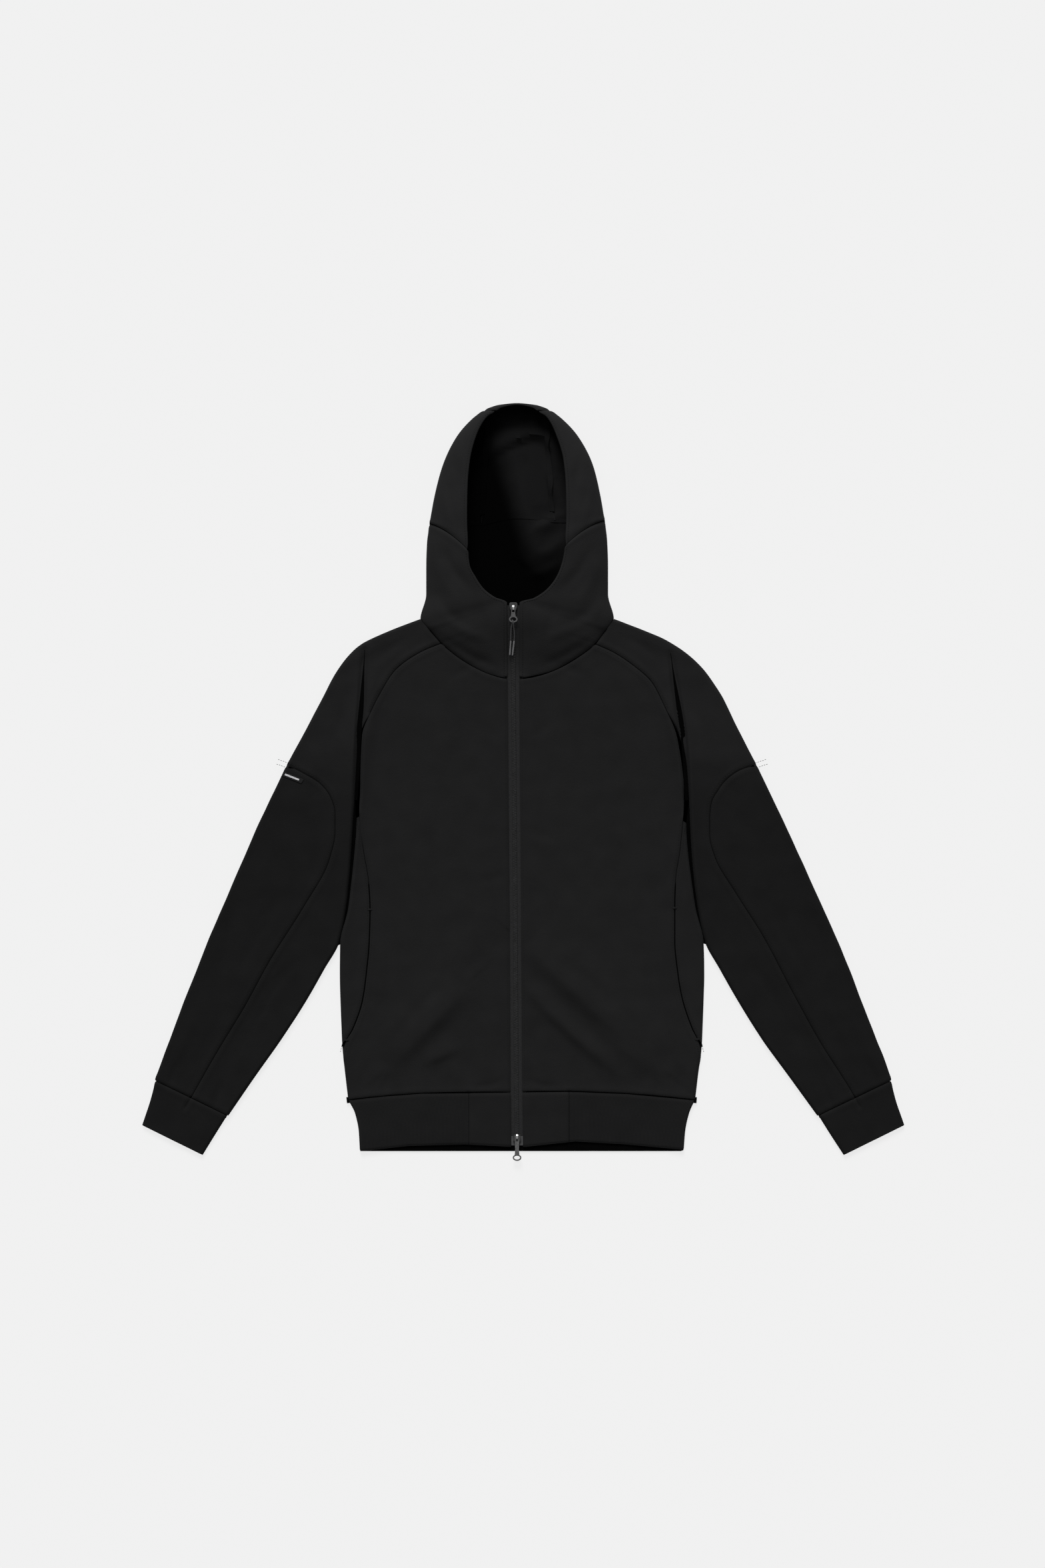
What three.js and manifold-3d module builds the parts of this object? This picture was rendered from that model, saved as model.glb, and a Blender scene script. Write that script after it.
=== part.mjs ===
// A zip up hoodie that lies flat on its back, in millimetres.
// +X is the viewer's right, +Y points from the hem to the hood and +Z points up from the floor.
// The origin is on the floor under the middle of the garment.
// Every cloth panel is a wall of its own, laid through sections and cut 0.3 mm clear at its seams.
import * as THREE from 'three';
import { mergeVertices } from 'three/addons/utils/BufferGeometryUtils.js';
import Module from 'manifold-3d';

const wasm = await Module();
wasm.setup();

// Driving sizes of the cloth and of how it lies.
const CLOTH = 2.0;
const LAYER_GAP = 0.3;
const SEAM_GAP = 0.3;
const REST_TOP = 5.3;
const EDGE_TOP = 7.6;
const EDGE_SOFTNESS = 18;
const LOWEST_TOP = CLOTH * 2 + LAYER_GAP + 0.1;
const FRONT_FLOOR = CLOTH + LAYER_GAP;

// Driving sizes of the zip.
const ZIP_TAPE_HALF = 13;
const ZIP_SHOWN_HALF = 7.7;
const ZIP_TAPE = 1.0;
const ZIP_CHAIN_HALF = 2.9;
const ZIP_CHAIN_HEIGHT = 1.5;
const ZIP_LIFT = 0.8;
const ZIP_LIFT_WIDTH = 14;

// The zip's middle line, from the hem to the face opening.
const ZIP_LINE = [
  { y: -481, x: -8 },
  { y: -409, x: -9 },
  { y: -112, x: -11 },
  { y: 136, x: -13 },
  { y: 236, x: -13 },
];
const NECK_Y = 136;
const ZIP_TOP_Y = 235;
const COLLAR_RISE = 24;

// Sleeve with its shoulder: sections from the outer fold to the inner edge. An open section ends in the
// raglan seam, and the groove is where the sleeve folds down beside the body.
const SLEEVE = {
  left: [
    { outer: [-136, 215], inner: [-109, 183], open: 1, groove: 0.4, depth: 0 },
    { outer: [-177, 199], inner: [-135, 172], open: 1, groove: 0.3, depth: 0 },
    { outer: [-217, 179], inner: [-169, 148], open: 1, groove: 0.35, depth: 0 },
    { outer: [-246, 146], inner: [-188, 119], open: 1, groove: 0.68, depth: 3 },
    { outer: [-262, 116], inner: [-202, 91], open: 1, groove: 0.8, depth: 3 },
    { outer: [-284, 74], inner: [-215, 60], open: 0 },
    { outer: [-311, 24], inner: [-218, 20], open: 0 },
    { outer: [-330, -15], inner: [-220.6, -24], open: 0 },
    { outer: [-349, -55], inner: [-223.6, -68], open: 0 },
    { outer: [-370, -103], inner: [-227.4, -116], open: 0 },
    { outer: [-389, -147], inner: [-233, -165], open: 0 },
    { outer: [-414, -205], inner: [-243, -212], open: 0 },
    { outer: [-431, -248], inner: [-263, -248], open: 0 },
    { outer: [-447, -288], inner: [-287, -290], open: 0 },
    { outer: [-466, -339], inner: [-320, -341], open: 0 },
    { outer: [-476, -366], inner: [-354, -389], open: 0 },
    { outer: [-486, -393], inner: [-389, -440], open: 0 },
  ],
  right: [
    { outer: [120, 215], inner: [96, 182], open: 1, groove: 0.4, depth: 0 },
    { outer: [154, 202], inner: [120, 171], open: 1, groove: 0.3, depth: 0 },
    { outer: [190, 186], inner: [147, 153], open: 1, groove: 0.35, depth: 0 },
    { outer: [228, 159], inner: [170, 132], open: 1, groove: 0.55, depth: 3 },
    { outer: [260, 117], inner: [189, 95], open: 1, groove: 0.78, depth: 3 },
    { outer: [281, 75], inner: [205, 60], open: 0 },
    { outer: [307, 24], inner: [213.6, 20], open: 0 },
    { outer: [326, -15], inner: [217, -24], open: 0 },
    { outer: [345, -55], inner: [219, -68], open: 0 },
    { outer: [367, -103], inner: [223, -116], open: 0 },
    { outer: [387, -147], inner: [229.8, -165], open: 0 },
    { outer: [413, -205], inner: [240, -211], open: 0 },
    { outer: [431, -248], inner: [260, -248], open: 0 },
    { outer: [446, -288], inner: [284, -290], open: 0 },
    { outer: [466, -339], inner: [316, -341], open: 0 },
    { outer: [476, -364], inner: [351, -389], open: 0 },
    { outer: [486, -393], inner: [388, -440], open: 0 },
  ],
};

// Cuffs: sections from the sleeve seam to the hand, a little narrower than the sleeve.
const CUFF = {
  left: [
    { outer: [-485.1, -393.8], inner: [-390.5, -439.7] },
    { outer: [-494, -424], inner: [-407, -466] },
    { outer: [-504, -452], inner: [-423, -492] },
  ],
  right: [
    { outer: [485.1, -393.8], inner: [389.5, -439.7] },
    { outer: [494, -424], inner: [406, -466] },
    { outer: [504, -452], inner: [423, -492] },
  ],
};

// Elbow seam: from the outer fold under the shoulder down to the cuff.
const ELBOW_SEAM = {
  left: [
    [-325, 27], [-311, 22], [-289, 11], [-267, -3], [-254, -20], [-248, -41], [-248, -64], [-256, -103],
    [-290, -165], [-334, -235], [-368, -297], [-405, -358], [-437, -414], [-446, -430],
  ],
  right: [
    [322, 27], [310, 23], [289, 17], [269, 4], [257, -11], [248, -28], [246, -48], [246, -69], [253, -99],
    [281, -147], [317, -204], [355, -276], [392, -343], [435, -411], [444, -428],
  ],
};

// Body: sections from the neck to the hem seam. The front ends at the raglan seam, then at the fold
// beside the sleeve, and from the armpit down at the curved side seam. Bow lifts a section's middle.
const BODY = {
  left: [
    { zip: 135.5, seam: [-108.6, 182.6], bow: -8, fold: 0 },
    { zip: 118, seam: [-134.8, 171.6], bow: -6, fold: 0 },
    { zip: 96, seam: [-168.8, 147.6], bow: -3, fold: 0 },
    { zip: 76, seam: [-187.7, 118.8], bow: -1, fold: 0 },
    { zip: 58, seam: [-201.7, 90.9], bow: 0, fold: 0 },
    { zip: 36, seam: [-214, 60], bow: 0, fold: 1 },
    { zip: 10, seam: [-217, 20], bow: 0, fold: 1 },
    { zip: -12, seam: [-217.3, -5], bow: 0, fold: 1 },
    { zip: -46, seam: [-216, -46], bow: 0, fold: 0, side: [-220.5, -47] },
    { zip: -94, seam: [-210, -94], bow: 0, fold: 0, side: [-224.2, -96] },
    { zip: -131, seam: [-204, -131], bow: 0, fold: 0, side: [-227.4, -132] },
    { zip: -168, seam: [-202, -168], bow: 0, fold: 0, side: [-231.4, -168] },
    { zip: -209, seam: [-203, -209], bow: 0, fold: 0, side: [-241.5, -212] },
    { zip: -253, seam: [-207, -253], bow: 0, fold: 0, side: [-242, -253] },
    { zip: -288, seam: [-212, -288], bow: 0, fold: 0, side: [-241, -292] },
    { zip: -326, seam: [-225, -326], bow: 0, fold: 0, side: [-239.5, -330] },
    { zip: -343, seam: [-233, -340], bow: 1, fold: 0, side: [-239, -343] },
  ],
  right: [
    { zip: 135.5, seam: [95.6, 181.6], bow: -10, fold: 0 },
    { zip: 118, seam: [119.8, 170.6], bow: -8, fold: 0 },
    { zip: 96, seam: [146.7, 152.6], bow: -5, fold: 0 },
    { zip: 76, seam: [169.7, 131.7], bow: -1, fold: 0 },
    { zip: 58, seam: [188.6, 94.9], bow: 0, fold: 0 },
    { zip: 36, seam: [204, 60], bow: 0, fold: 1 },
    { zip: 10, seam: [212, 20], bow: 0, fold: 1 },
    { zip: -14, seam: [214.4, -8], bow: 0, fold: 1 },
    { zip: -50, seam: [210.5, -52], bow: 0, fold: 0, side: [216.2, -54] },
    { zip: -90, seam: [206.5, -92], bow: 0, fold: 0, side: [219, -94] },
    { zip: -130, seam: [201, -130], bow: 0, fold: 0, side: [223, -131] },
    { zip: -168, seam: [200, -166], bow: 0, fold: 0, side: [228, -168] },
    { zip: -210, seam: [200, -210], bow: 0, fold: 0, side: [238, -211] },
    { zip: -252, seam: [204, -252], bow: 0, fold: 0, side: [239, -253] },
    { zip: -285, seam: [209, -282], bow: 0, fold: 0, side: [238, -290] },
    { zip: -325, seam: [223, -325], bow: 0, fold: 0, side: [236.5, -330] },
    { zip: -343, seam: [230, -339], bow: 1, fold: 0, side: [236, -343] },
  ],
};

// Below the curved side seam the front reaches the side edge, down to the hem seam.
const BODY_FOOT = {
  left: [
    { zip: -358, seam: [-238, -357], bow: 1, fold: 1 },
    { zip: -385, seam: [-235, -385], bow: 2, fold: 1 },
    { zip: -408.8, seam: [-231, -418.5], bow: 4, fold: 1 },
  ],
  right: [
    { zip: -358, seam: [235, -357], bow: 1, fold: 1 },
    { zip: -385, seam: [231, -385], bow: 2, fold: 1 },
    { zip: -407.8, seam: [227, -418.5], bow: 4, fold: 1 },
  ],
};
const SIDE_UNDER = 30;

// Hem band: half widths from the seam to the free edge, and the height of its free edge in front.
const HEM = [
  { y: -419.6, left: -231, right: 227 },
  { y: -438, left: -222, right: 219 },
  { y: -462, left: -217, right: 214 },
  { y: -487, left: -216, right: 212 },
];
const HEM_RIB_ENDS = { left: -72, right: 61 };
const HEM_TOP_LINE = [[-231, -419.6], [-187, -415], [-134, -411], [-20, -409.5], [62, -408.6], [136, -411.4], [227, -419.6]];
const HEM_FREE_EDGE = [[-216, -487], [-151, -480], [-76, -478], [-17, -481], [3, -481], [69, -474], [136, -478], [212, -485]];
const RIB_PITCH = 3.2;
const RIB_HEIGHT = 0.5;

// Hood: sections of the upper hood from its outline to the rim of the face opening, with the rim's
// height, and the place on the underside where the section meets the middle strip.
const HOOD_SIDE = {
  left: [
    { outline: [-52, 490], rim: [-37, 487], rise: 24, under: [-47.3, 484] },
    { outline: [-66, 480], rim: [-48, 479], rise: 27, under: [-48.2, 470] },
    { outline: [-88, 455], rim: [-61, 456], rise: 31, under: [-49.6, 448] },
    { outline: [-106, 418], rim: [-70, 421], rise: 34, under: [-51.6, 415] },
    { outline: [-117, 377], rim: [-73, 385], rise: 36, under: [-53.8, 380] },
    { outline: [-122, 350], rim: [-73.5, 345], rise: 37, under: [-55.5, 352] },
    { outline: [-123.5, 341], rim: [-72.5, 305], rise: 37, under: [-56.2, 341], bow: 4 },
  ],
  right: [
    { outline: [36, 490], rim: [20, 487], rise: 24, under: [31.3, 484] },
    { outline: [50, 480], rim: [31, 479], rise: 27, under: [32.2, 470] },
    { outline: [73, 455], rim: [43, 456], rise: 31, under: [33.6, 448] },
    { outline: [92, 418], rim: [53, 421], rise: 34, under: [35.7, 415] },
    { outline: [102, 377], rim: [56, 385], rise: 36, under: [37.9, 380] },
    { outline: [106, 354], rim: [56.5, 350], rise: 37, under: [39.5, 354] },
    { outline: [107.5, 345], rim: [55.5, 311], rise: 37, under: [40.1, 345], bow: 4 },
  ],
};

// Collar: sections from the outline, and then from the neck seam, to the rim, and then to the zip.
const COLLAR = {
  left: [
    { outline: [-123.6, 340], rim: [-72.4, 304], rise: 37, fold: 1, bow: 4 },
    { outline: [-127, 315], rim: [-70, 284], rise: 36, fold: 1, bow: 3 },
    { outline: [-128, 284], rim: [-63, 270], rise: 35, fold: 1, bow: 2 },
    { outline: [-128, 248], rim: [-52, 254], rise: 33, fold: 1, bow: 0 },
    { outline: [-135.6, 215.6], rim: [-37, 242.5], rise: 31.5, fold: 1, bow: 0 },
    { outline: [-121.6, 199.4], rim: [-21.2, 235], rise: 30, fold: 0, bow: 0 },
    { outline: [-108.4, 184], rim: [-21.2, 213], rise: 28, fold: 0, bow: 0 },
    { outline: [-79, 160.4], rim: [-21.2, 183], rise: 20, fold: 0, bow: 0 },
    { outline: [-46, 143], rim: [-21.1, 156], rise: 11.5, fold: 0, bow: 0 },
    { outline: [-24, 137], rim: [-21.1, 138], rise: 7, fold: 0, bow: 0 },
  ],
  right: [
    { outline: [107.6, 344], rim: [55.4, 310], rise: 37, fold: 1, bow: 4 },
    { outline: [111, 315], rim: [51, 288], rise: 36, fold: 1, bow: 3 },
    { outline: [112, 284], rim: [44, 270], rise: 35, fold: 1, bow: 2 },
    { outline: [112, 248], rim: [32, 254], rise: 33, fold: 1, bow: 0 },
    { outline: [119.6, 215.6], rim: [14, 241.5], rise: 31.5, fold: 1, bow: 0 },
    { outline: [107.6, 199.4], rim: [-4.8, 235], rise: 30, fold: 0, bow: 0 },
    { outline: [95.4, 183.2], rim: [-4.8, 213], rise: 28, fold: 0, bow: 0 },
    { outline: [66, 161.3], rim: [-4.8, 183], rise: 20, fold: 0, bow: 0 },
    { outline: [34, 145], rim: [-4.9, 156], rise: 11.5, fold: 0, bow: 0 },
    { outline: [-2, 137], rim: [-4.9, 138], rise: 7, fold: 0, bow: 0 },
  ],
};

// Middle strip of the hood: lengths of cloth side by side, from the rim over the crown to the nape.
const HOOD_STRIP = [
  { crown: [-51.4, 490.3], rim: [-36.6, 487.4], foot: -55.7 },
  { crown: [-33, 497], rim: [-28, 492], foot: -39 },
  { crown: [-8, 499.3], rim: [-8, 495.5], foot: -8 },
  { crown: [17, 497], rim: [12, 492], foot: 23 },
  { crown: [35.4, 490.3], rim: [19.6, 487.4], foot: 39.7 },
];
const STRIP_FOOT_Y = { left: 341, middle: 350, right: 345 };
const STRIP_RISE = 23;
const HOOD_FOLD = 5;

// Soft folds that stand up from the cloth or sink into it: from, to, half width and height.
const FOLDS = [
  { from: [-76, -282], to: [-160, -382], width: 22, height: -0.8 },
  { from: [-58, -300], to: [-140, -352], width: 13, height: 2.2 },
  { from: [-96, -285], to: [-182, -372], width: 13, height: 2.0 },
  { from: [10, -232], to: [166, -382], width: 14, height: -0.9 },
  { from: [22, -222], to: [176, -352], width: 13, height: 2.6 },
  { from: [10, -272], to: [130, -385], width: 11, height: 2.4 },
  { from: [-262, -30], to: [-262, -130], width: 16, height: 2.2 },
  { from: [262, -30], to: [264, -130], width: 16, height: 2.2 },
  { from: [-345, -215], to: [-398, -330], width: 18, height: 2.0 },
  { from: [352, -215], to: [404, -330], width: 18, height: 2.0 },
  { from: [-330, -150], to: [-400, -250], width: 22, height: -0.8 },
  { from: [332, -150], to: [402, -250], width: 22, height: -0.8 },
  { from: [-196, 150], to: [-202, 30], width: 9, height: 2.4 },
  { from: [190, 140], to: [200, 30], width: 9, height: 2.4 },
];

// Colours of the materials.
const COLOURS = { cloth: '#1c1c1d', rib: '#1a1a1b', tape: '#262627', steel: '#8d8f92', cord: '#232324', tip: '#4a4b4d' };
const DULL = 0.95;
const SATIN = 0.35;

const groupOfParts = new THREE.Group();

function place(name, geometry, colour, roughness = DULL, metalness = 0) {
  const material = new THREE.MeshStandardMaterial({ color: colour, roughness, metalness });
  const mesh = new THREE.Mesh(geometry, material);
  mesh.name = name;
  groupOfParts.add(mesh);
  return mesh;
}

// Small helpers for points in plan, held as [x, y].
const mix = (a, b, t) => a + (b - a) * t;
const mixPoint = (a, b, t) => [mix(a[0], b[0], t), mix(a[1], b[1], t)];
const distance = (a, b) => Math.hypot(a[0] - b[0], a[1] - b[1]);
const smooth = (t) => {
  const held = Math.min(1, Math.max(0, t));
  return held * held * (3 - 2 * held);
};

function alongLine(line, key, value, result) {
  const rows = [...line].sort((a, b) => a[key] - b[key]);
  if (value <= rows[0][key]) return rows[0][result];
  for (let i = 1; i < rows.length; i += 1) {
    if (value <= rows[i][key]) {
      const t = (value - rows[i - 1][key]) / (rows[i][key] - rows[i - 1][key]);
      return mix(rows[i - 1][result], rows[i][result], t);
    }
  }
  return rows[rows.length - 1][result];
}

function segmentDistance(point, a, b) {
  const dx = b[0] - a[0];
  const dy = b[1] - a[1];
  const length = dx * dx + dy * dy;
  const t = Math.min(1, Math.max(0, ((point[0] - a[0]) * dx + (point[1] - a[1]) * dy) / length));
  return { away: Math.hypot(point[0] - a[0] - dx * t, point[1] - a[1] - dy * t), t };
}

// Every line in plan where the cloth turns under.
const EDGE_LINES = ['left', 'right'].flatMap((side) => [
  SLEEVE[side].map((row) => row.outer),
  SLEEVE[side].filter((row) => !row.open).map((row) => row.inner),
  [...BODY[side].filter((row) => row.side).map((row) => row.side), ...BODY_FOOT[side].map((row) => row.seam)],
]);

function edgeDistance(point) {
  let nearest = Infinity;
  for (const line of EDGE_LINES) {
    for (let i = 1; i < line.length; i += 1) {
      nearest = Math.min(nearest, segmentDistance(point, line[i - 1], line[i]).away);
    }
  }
  return nearest;
}

function zipX(y) {
  return alongLine(ZIP_LINE, 'y', y, 'x');
}

// Height of the cloth's upper face over the floor, for everything but the hood.
function topHeight(x, y) {
  const inFromEdge = Math.max(0, edgeDistance([x, y]) - EDGE_TOP / 2);
  let height = REST_TOP + (EDGE_TOP - REST_TOP) * Math.exp(-inFromEdge / EDGE_SOFTNESS);
  const fromZip = Math.abs(x - zipX(y)) / ZIP_LIFT_WIDTH;
  if (y < NECK_Y) height += ZIP_LIFT * Math.exp(-fromZip * fromZip);
  for (const fold of FOLDS) {
    const { away, t } = segmentDistance([x, y], fold.from, fold.to);
    const across = away / fold.width;
    height += fold.height * Math.exp(-across * across) * Math.sin(Math.PI * mix(0.12, 0.88, t));
  }
  return Math.max(LOWEST_TOP, height);
}

// A wall of cloth from a grid of points on its outer face, row by row. The inner face lies one thickness
// in along the normals, no lower than the layer below, and raise lifts outer points alone, for ribs.
function wall(grid, { thickness = CLOTH, raise = () => 0 } = {}) {
  const rows = grid.length;
  const columns = grid[0].length;
  const points = grid.map((row) => row.map((point) => new THREE.Vector3(...point)));
  const faceNormals = [];
  for (let i = 0; i < rows - 1; i += 1) {
    faceNormals.push([]);
    for (let j = 0; j < columns - 1; j += 1) {
      const alongDiagonal = points[i + 1][j + 1].clone().sub(points[i][j]);
      const otherDiagonal = points[i + 1][j].clone().sub(points[i][j + 1]);
      faceNormals[i].push(alongDiagonal.cross(otherDiagonal).normalize());
    }
  }
  let highest = [0, 0];
  points.forEach((row, i) => row.forEach((point, j) => {
    if (point.z > points[highest[0]][highest[1]].z) highest = [i, j];
  }));
  const facesAt = (i, j) => [[i - 1, j - 1], [i - 1, j], [i, j - 1], [i, j]]
    .filter(([a, b]) => a >= 0 && b >= 0 && a < rows - 1 && b < columns - 1)
    .map(([a, b]) => faceNormals[a][b]);
  const normalAt = (i, j) => facesAt(i, j).reduce((sum, face) => sum.add(face), new THREE.Vector3()).normalize();
  const upward = normalAt(...highest).z >= 0 ? 1 : -1;
  const outer = [];
  const inner = [];
  for (let i = 0; i < rows; i += 1) {
    for (let j = 0; j < columns; j += 1) {
      const normal = normalAt(i, j);
      const faces = facesAt(i, j);
      const spread = faces.reduce((sum, face) => sum + Math.max(0.5, face.dot(normal)), 0) / faces.length;
      const under = points[i][j].clone().addScaledVector(normal, -upward * thickness / spread);
      if (points[i][j].z >= FRONT_FLOOR) under.z = Math.max(under.z, FRONT_FLOOR);
      inner.push(under);
      outer.push(points[i][j].clone().addScaledVector(normal, upward * raise(i, j)));
    }
  }
  const triangles = [];
  const quad = (a, b, c, d) => triangles.push(a, b, c, a, c, d);
  const at = (i, j) => i * columns + j;
  const below = rows * columns;
  for (let i = 0; i < rows - 1; i += 1) {
    for (let j = 0; j < columns - 1; j += 1) {
      quad(at(i, j), at(i + 1, j), at(i + 1, j + 1), at(i, j + 1));
      quad(below + at(i, j), below + at(i, j + 1), below + at(i + 1, j + 1), below + at(i + 1, j));
    }
    quad(at(i, 0), below + at(i, 0), below + at(i + 1, 0), at(i + 1, 0));
    quad(at(i, columns - 1), at(i + 1, columns - 1), below + at(i + 1, columns - 1), below + at(i, columns - 1));
  }
  for (let j = 0; j < columns - 1; j += 1) {
    quad(at(0, j), at(0, j + 1), below + at(0, j + 1), below + at(0, j));
    quad(at(rows - 1, j), below + at(rows - 1, j), below + at(rows - 1, j + 1), at(rows - 1, j + 1));
  }
  return closedBody([...outer, ...inner], triangles);
}

// A geometry of points and triangles, turned so that its faces point out.
function closedBody(points, triangles) {
  let volume = 0;
  for (let k = 0; k < triangles.length; k += 3) {
    const [a, b, c] = [points[triangles[k]], points[triangles[k + 1]], points[triangles[k + 2]]];
    volume += a.dot(b.clone().cross(c));
  }
  if (volume < 0) {
    for (let k = 0; k < triangles.length; k += 3) {
      [triangles[k + 1], triangles[k + 2]] = [triangles[k + 2], triangles[k + 1]];
    }
  }
  const geometry = new THREE.BufferGeometry();
  geometry.setAttribute('position', new THREE.Float32BufferAttribute(points.flatMap((p) => [p.x, p.y, p.z]), 3));
  geometry.setIndex(triangles);
  return geometry;
}

function toSolid(geometry) {
  const bare = geometry.clone();
  bare.deleteAttribute('normal');
  bare.deleteAttribute('uv');
  const merged = mergeVertices(bare, 1e-4);
  return new wasm.Manifold(new wasm.Mesh({
    numProp: 3,
    vertProperties: new Float32Array(merged.attributes.position.array),
    triVerts: new Uint32Array(merged.index.array),
  }));
}

function toGeometry(solid) {
  const mesh = solid.getMesh();
  const geometry = new THREE.BufferGeometry();
  geometry.setAttribute('position', new THREE.Float32BufferAttribute(mesh.vertProperties, 3));
  geometry.setIndex([...mesh.triVerts]);
  return geometry;
}

// A flat layer of cloth on the floor, inside a closed outline in plan.
function floorPanel(outline) {
  const shape = new THREE.Shape(outline.map(([x, y]) => new THREE.Vector2(x, y)));
  return new THREE.ExtrudeGeometry(shape, { depth: CLOTH, bevelEnabled: false });
}

// The point at a distance in from the first end of a section, in plan.
const inward = (from, to, s) => mixPoint(from, to, s / Math.max(1e-6, distance(from, to)));

// Profiles of a fold, as steps in from the edge and up from the floor.
const TURN_STEPS = 4;
const FOLD_STEPS = 6;

// The edge of an upper layer that turns down to lie on the layer below it.
function turnedEdge(from, to, bend) {
  const top = topHeight(...inward(from, to, EDGE_TOP - FRONT_FLOOR));
  const reach = top - FRONT_FLOOR;
  return Array.from({ length: TURN_STEPS }, (_, k) => {
    const angle = (Math.PI / 2) * (1 - k / (TURN_STEPS - 1));
    const [x, y] = inward(from, to, reach * (1 - Math.sin(angle)));
    return [x, y, mix(topHeight(x, y), FRONT_FLOOR + reach * Math.cos(angle), bend)];
  });
}

// A full fold from the top of the cloth round to the floor.
function fullFold(from, to) {
  const [nearX, nearY] = inward(from, to, EDGE_TOP / 2);
  const radius = topHeight(nearX, nearY) / 2;
  return Array.from({ length: FOLD_STEPS }, (_, k) => {
    const angle = Math.PI / 2 - (Math.PI * k) / (FOLD_STEPS - 1);
    const [x, y] = inward(from, to, radius * (1 - Math.cos(angle)));
    return [x, y, radius * (1 + Math.sin(angle))];
  });
}

// Points on the top of the cloth strictly between two points in plan.
function acrossTop(from, to, count, bow = 0) {
  return Array.from({ length: count }, (_, k) => {
    const t = (k + 1) / (count + 1);
    const [x, straightY] = mixPoint(from, to, t);
    const y = straightY + bow * 4 * t * (1 - t);
    return [x, y, topHeight(x, y)];
  });
}

const onFloor = (points) => points.map(([x, y]) => [x, y, 0]);

// Sleeve and shoulder.
const SLEEVE_TOP_POINTS = 7;
const GROOVE_HALF = 5;

function grooveEdge(row) {
  const length = distance(row.inner, row.outer);
  const grooveAt = length * (1 - row.groove);
  const places = [0, grooveAt - GROOVE_HALF, grooveAt, grooveAt + GROOVE_HALF];
  return places.map((s, k) => {
    const [x, y] = inward(row.inner, row.outer, Math.max(s, 0.5 * k));
    const sunk = k === 2 ? row.depth : 0;
    return [x, y, Math.max(LOWEST_TOP, topHeight(x, y) - sunk)];
  });
}

function sleeveSection(row) {
  const innerEdge = row.open ? grooveEdge(row) : turnedEdge(row.inner, row.outer, 1);
  const fold = fullFold(row.outer, row.inner);
  const across = acrossTop(innerEdge[TURN_STEPS - 1], fold[0], SLEEVE_TOP_POINTS);
  const under = onFloor([mixPoint(fold[FOLD_STEPS - 1], row.inner, 0.5), row.inner]);
  return [...innerEdge, ...across, ...fold, ...under];
}

// The outer half of a sleeve in plan: from the elbow seam out past the fold.
function elbowRegion(side, shift) {
  const outward = side === 'left' ? -1 : 1;
  const seam = ELBOW_SEAM[side].map(([x, y], i, line) => {
    const [ax, ay] = line[Math.max(0, i - 1)];
    const [bx, by] = line[Math.min(line.length - 1, i + 1)];
    const length = Math.hypot(bx - ax, by - ay);
    return [x + (outward * shift * (ay - by)) / length, y - (outward * shift * (ax - bx)) / length];
  });
  const [, lastY] = seam[seam.length - 1];
  const far = outward * (Math.abs(SLEEVE[side][SLEEVE[side].length - 1].outer[0]) + 60);
  const shape = new THREE.Shape([...seam, [far, lastY], [far, seam[0][1]]].map(([x, y]) => new THREE.Vector2(x, y)));
  const prism = new THREE.ExtrudeGeometry(shape, { depth: EDGE_TOP * 4, bevelEnabled: false });
  prism.translate(0, 0, -EDGE_TOP);
  return toSolid(prism);
}

function makeSleeve(side) {
  const tube = toSolid(wall(SLEEVE[side].map(sleeveSection)));
  const shoulder = tube.subtract(elbowRegion(side, -SEAM_GAP / 2));
  const elbow = tube.intersect(elbowRegion(side, SEAM_GAP / 2));
  place(`shoulder_${side}`, toGeometry(shoulder), COLOURS.cloth);
  place(`elbow_${side}`, toGeometry(elbow), COLOURS.cloth);
  place(`cuff_${side}`, wall(CUFF[side].map((row) => sleeveSection({ ...row, open: 0 }))), COLOURS.rib);
}

// Front, side and back of the body.
const FRONT_POINTS = 9;

function frontSection(side, row) {
  const outward = side === 'left' ? -1 : 1;
  const zipEdge = [zipX(row.zip) + outward * ZIP_SHOWN_HALF, row.zip];
  const gap = row.side ? outward * SEAM_GAP / 2 : 0;
  const seam = [row.seam[0] - gap, row.seam[1]];
  const edge = turnedEdge(seam, zipEdge, row.fold);
  const start = [...zipEdge, topHeight(...zipEdge)];
  return [...edge, ...acrossTop(edge[TURN_STEPS - 1], zipEdge, FRONT_POINTS, row.bow), start];
}

function sideSection(side, row) {
  const outward = side === 'left' ? -1 : 1;
  const seam = [row.seam[0] + outward * SEAM_GAP / 2, row.seam[1]];
  const fold = fullFold(row.side, seam);
  const start = [...seam, topHeight(...seam)];
  const reach = Math.abs(row.side[0] - seam[0]);
  const middle = acrossTop(seam, fold[0], 2);
  const under = [row.side[0] - outward * SIDE_UNDER, row.side[1], 0];
  const open = reach > EDGE_TOP / 2 + 0.5 ? [start, ...middle, ...fold] : null;
  return [...(open ?? sideTip(start, fold)), under];
}

// Where the side panel is narrower than its fold, its top follows the fold's own curve.
function sideTip(start, fold) {
  const spread = [0, 0.3, 0.6].map((t) => [mix(start[0], fold[1][0], t), mix(start[1], fold[1][1], t), fold[0][2]]);
  return [...spread, [fold[1][0], fold[1][1], fold[1][2]], ...fold.slice(1)];
}

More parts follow.
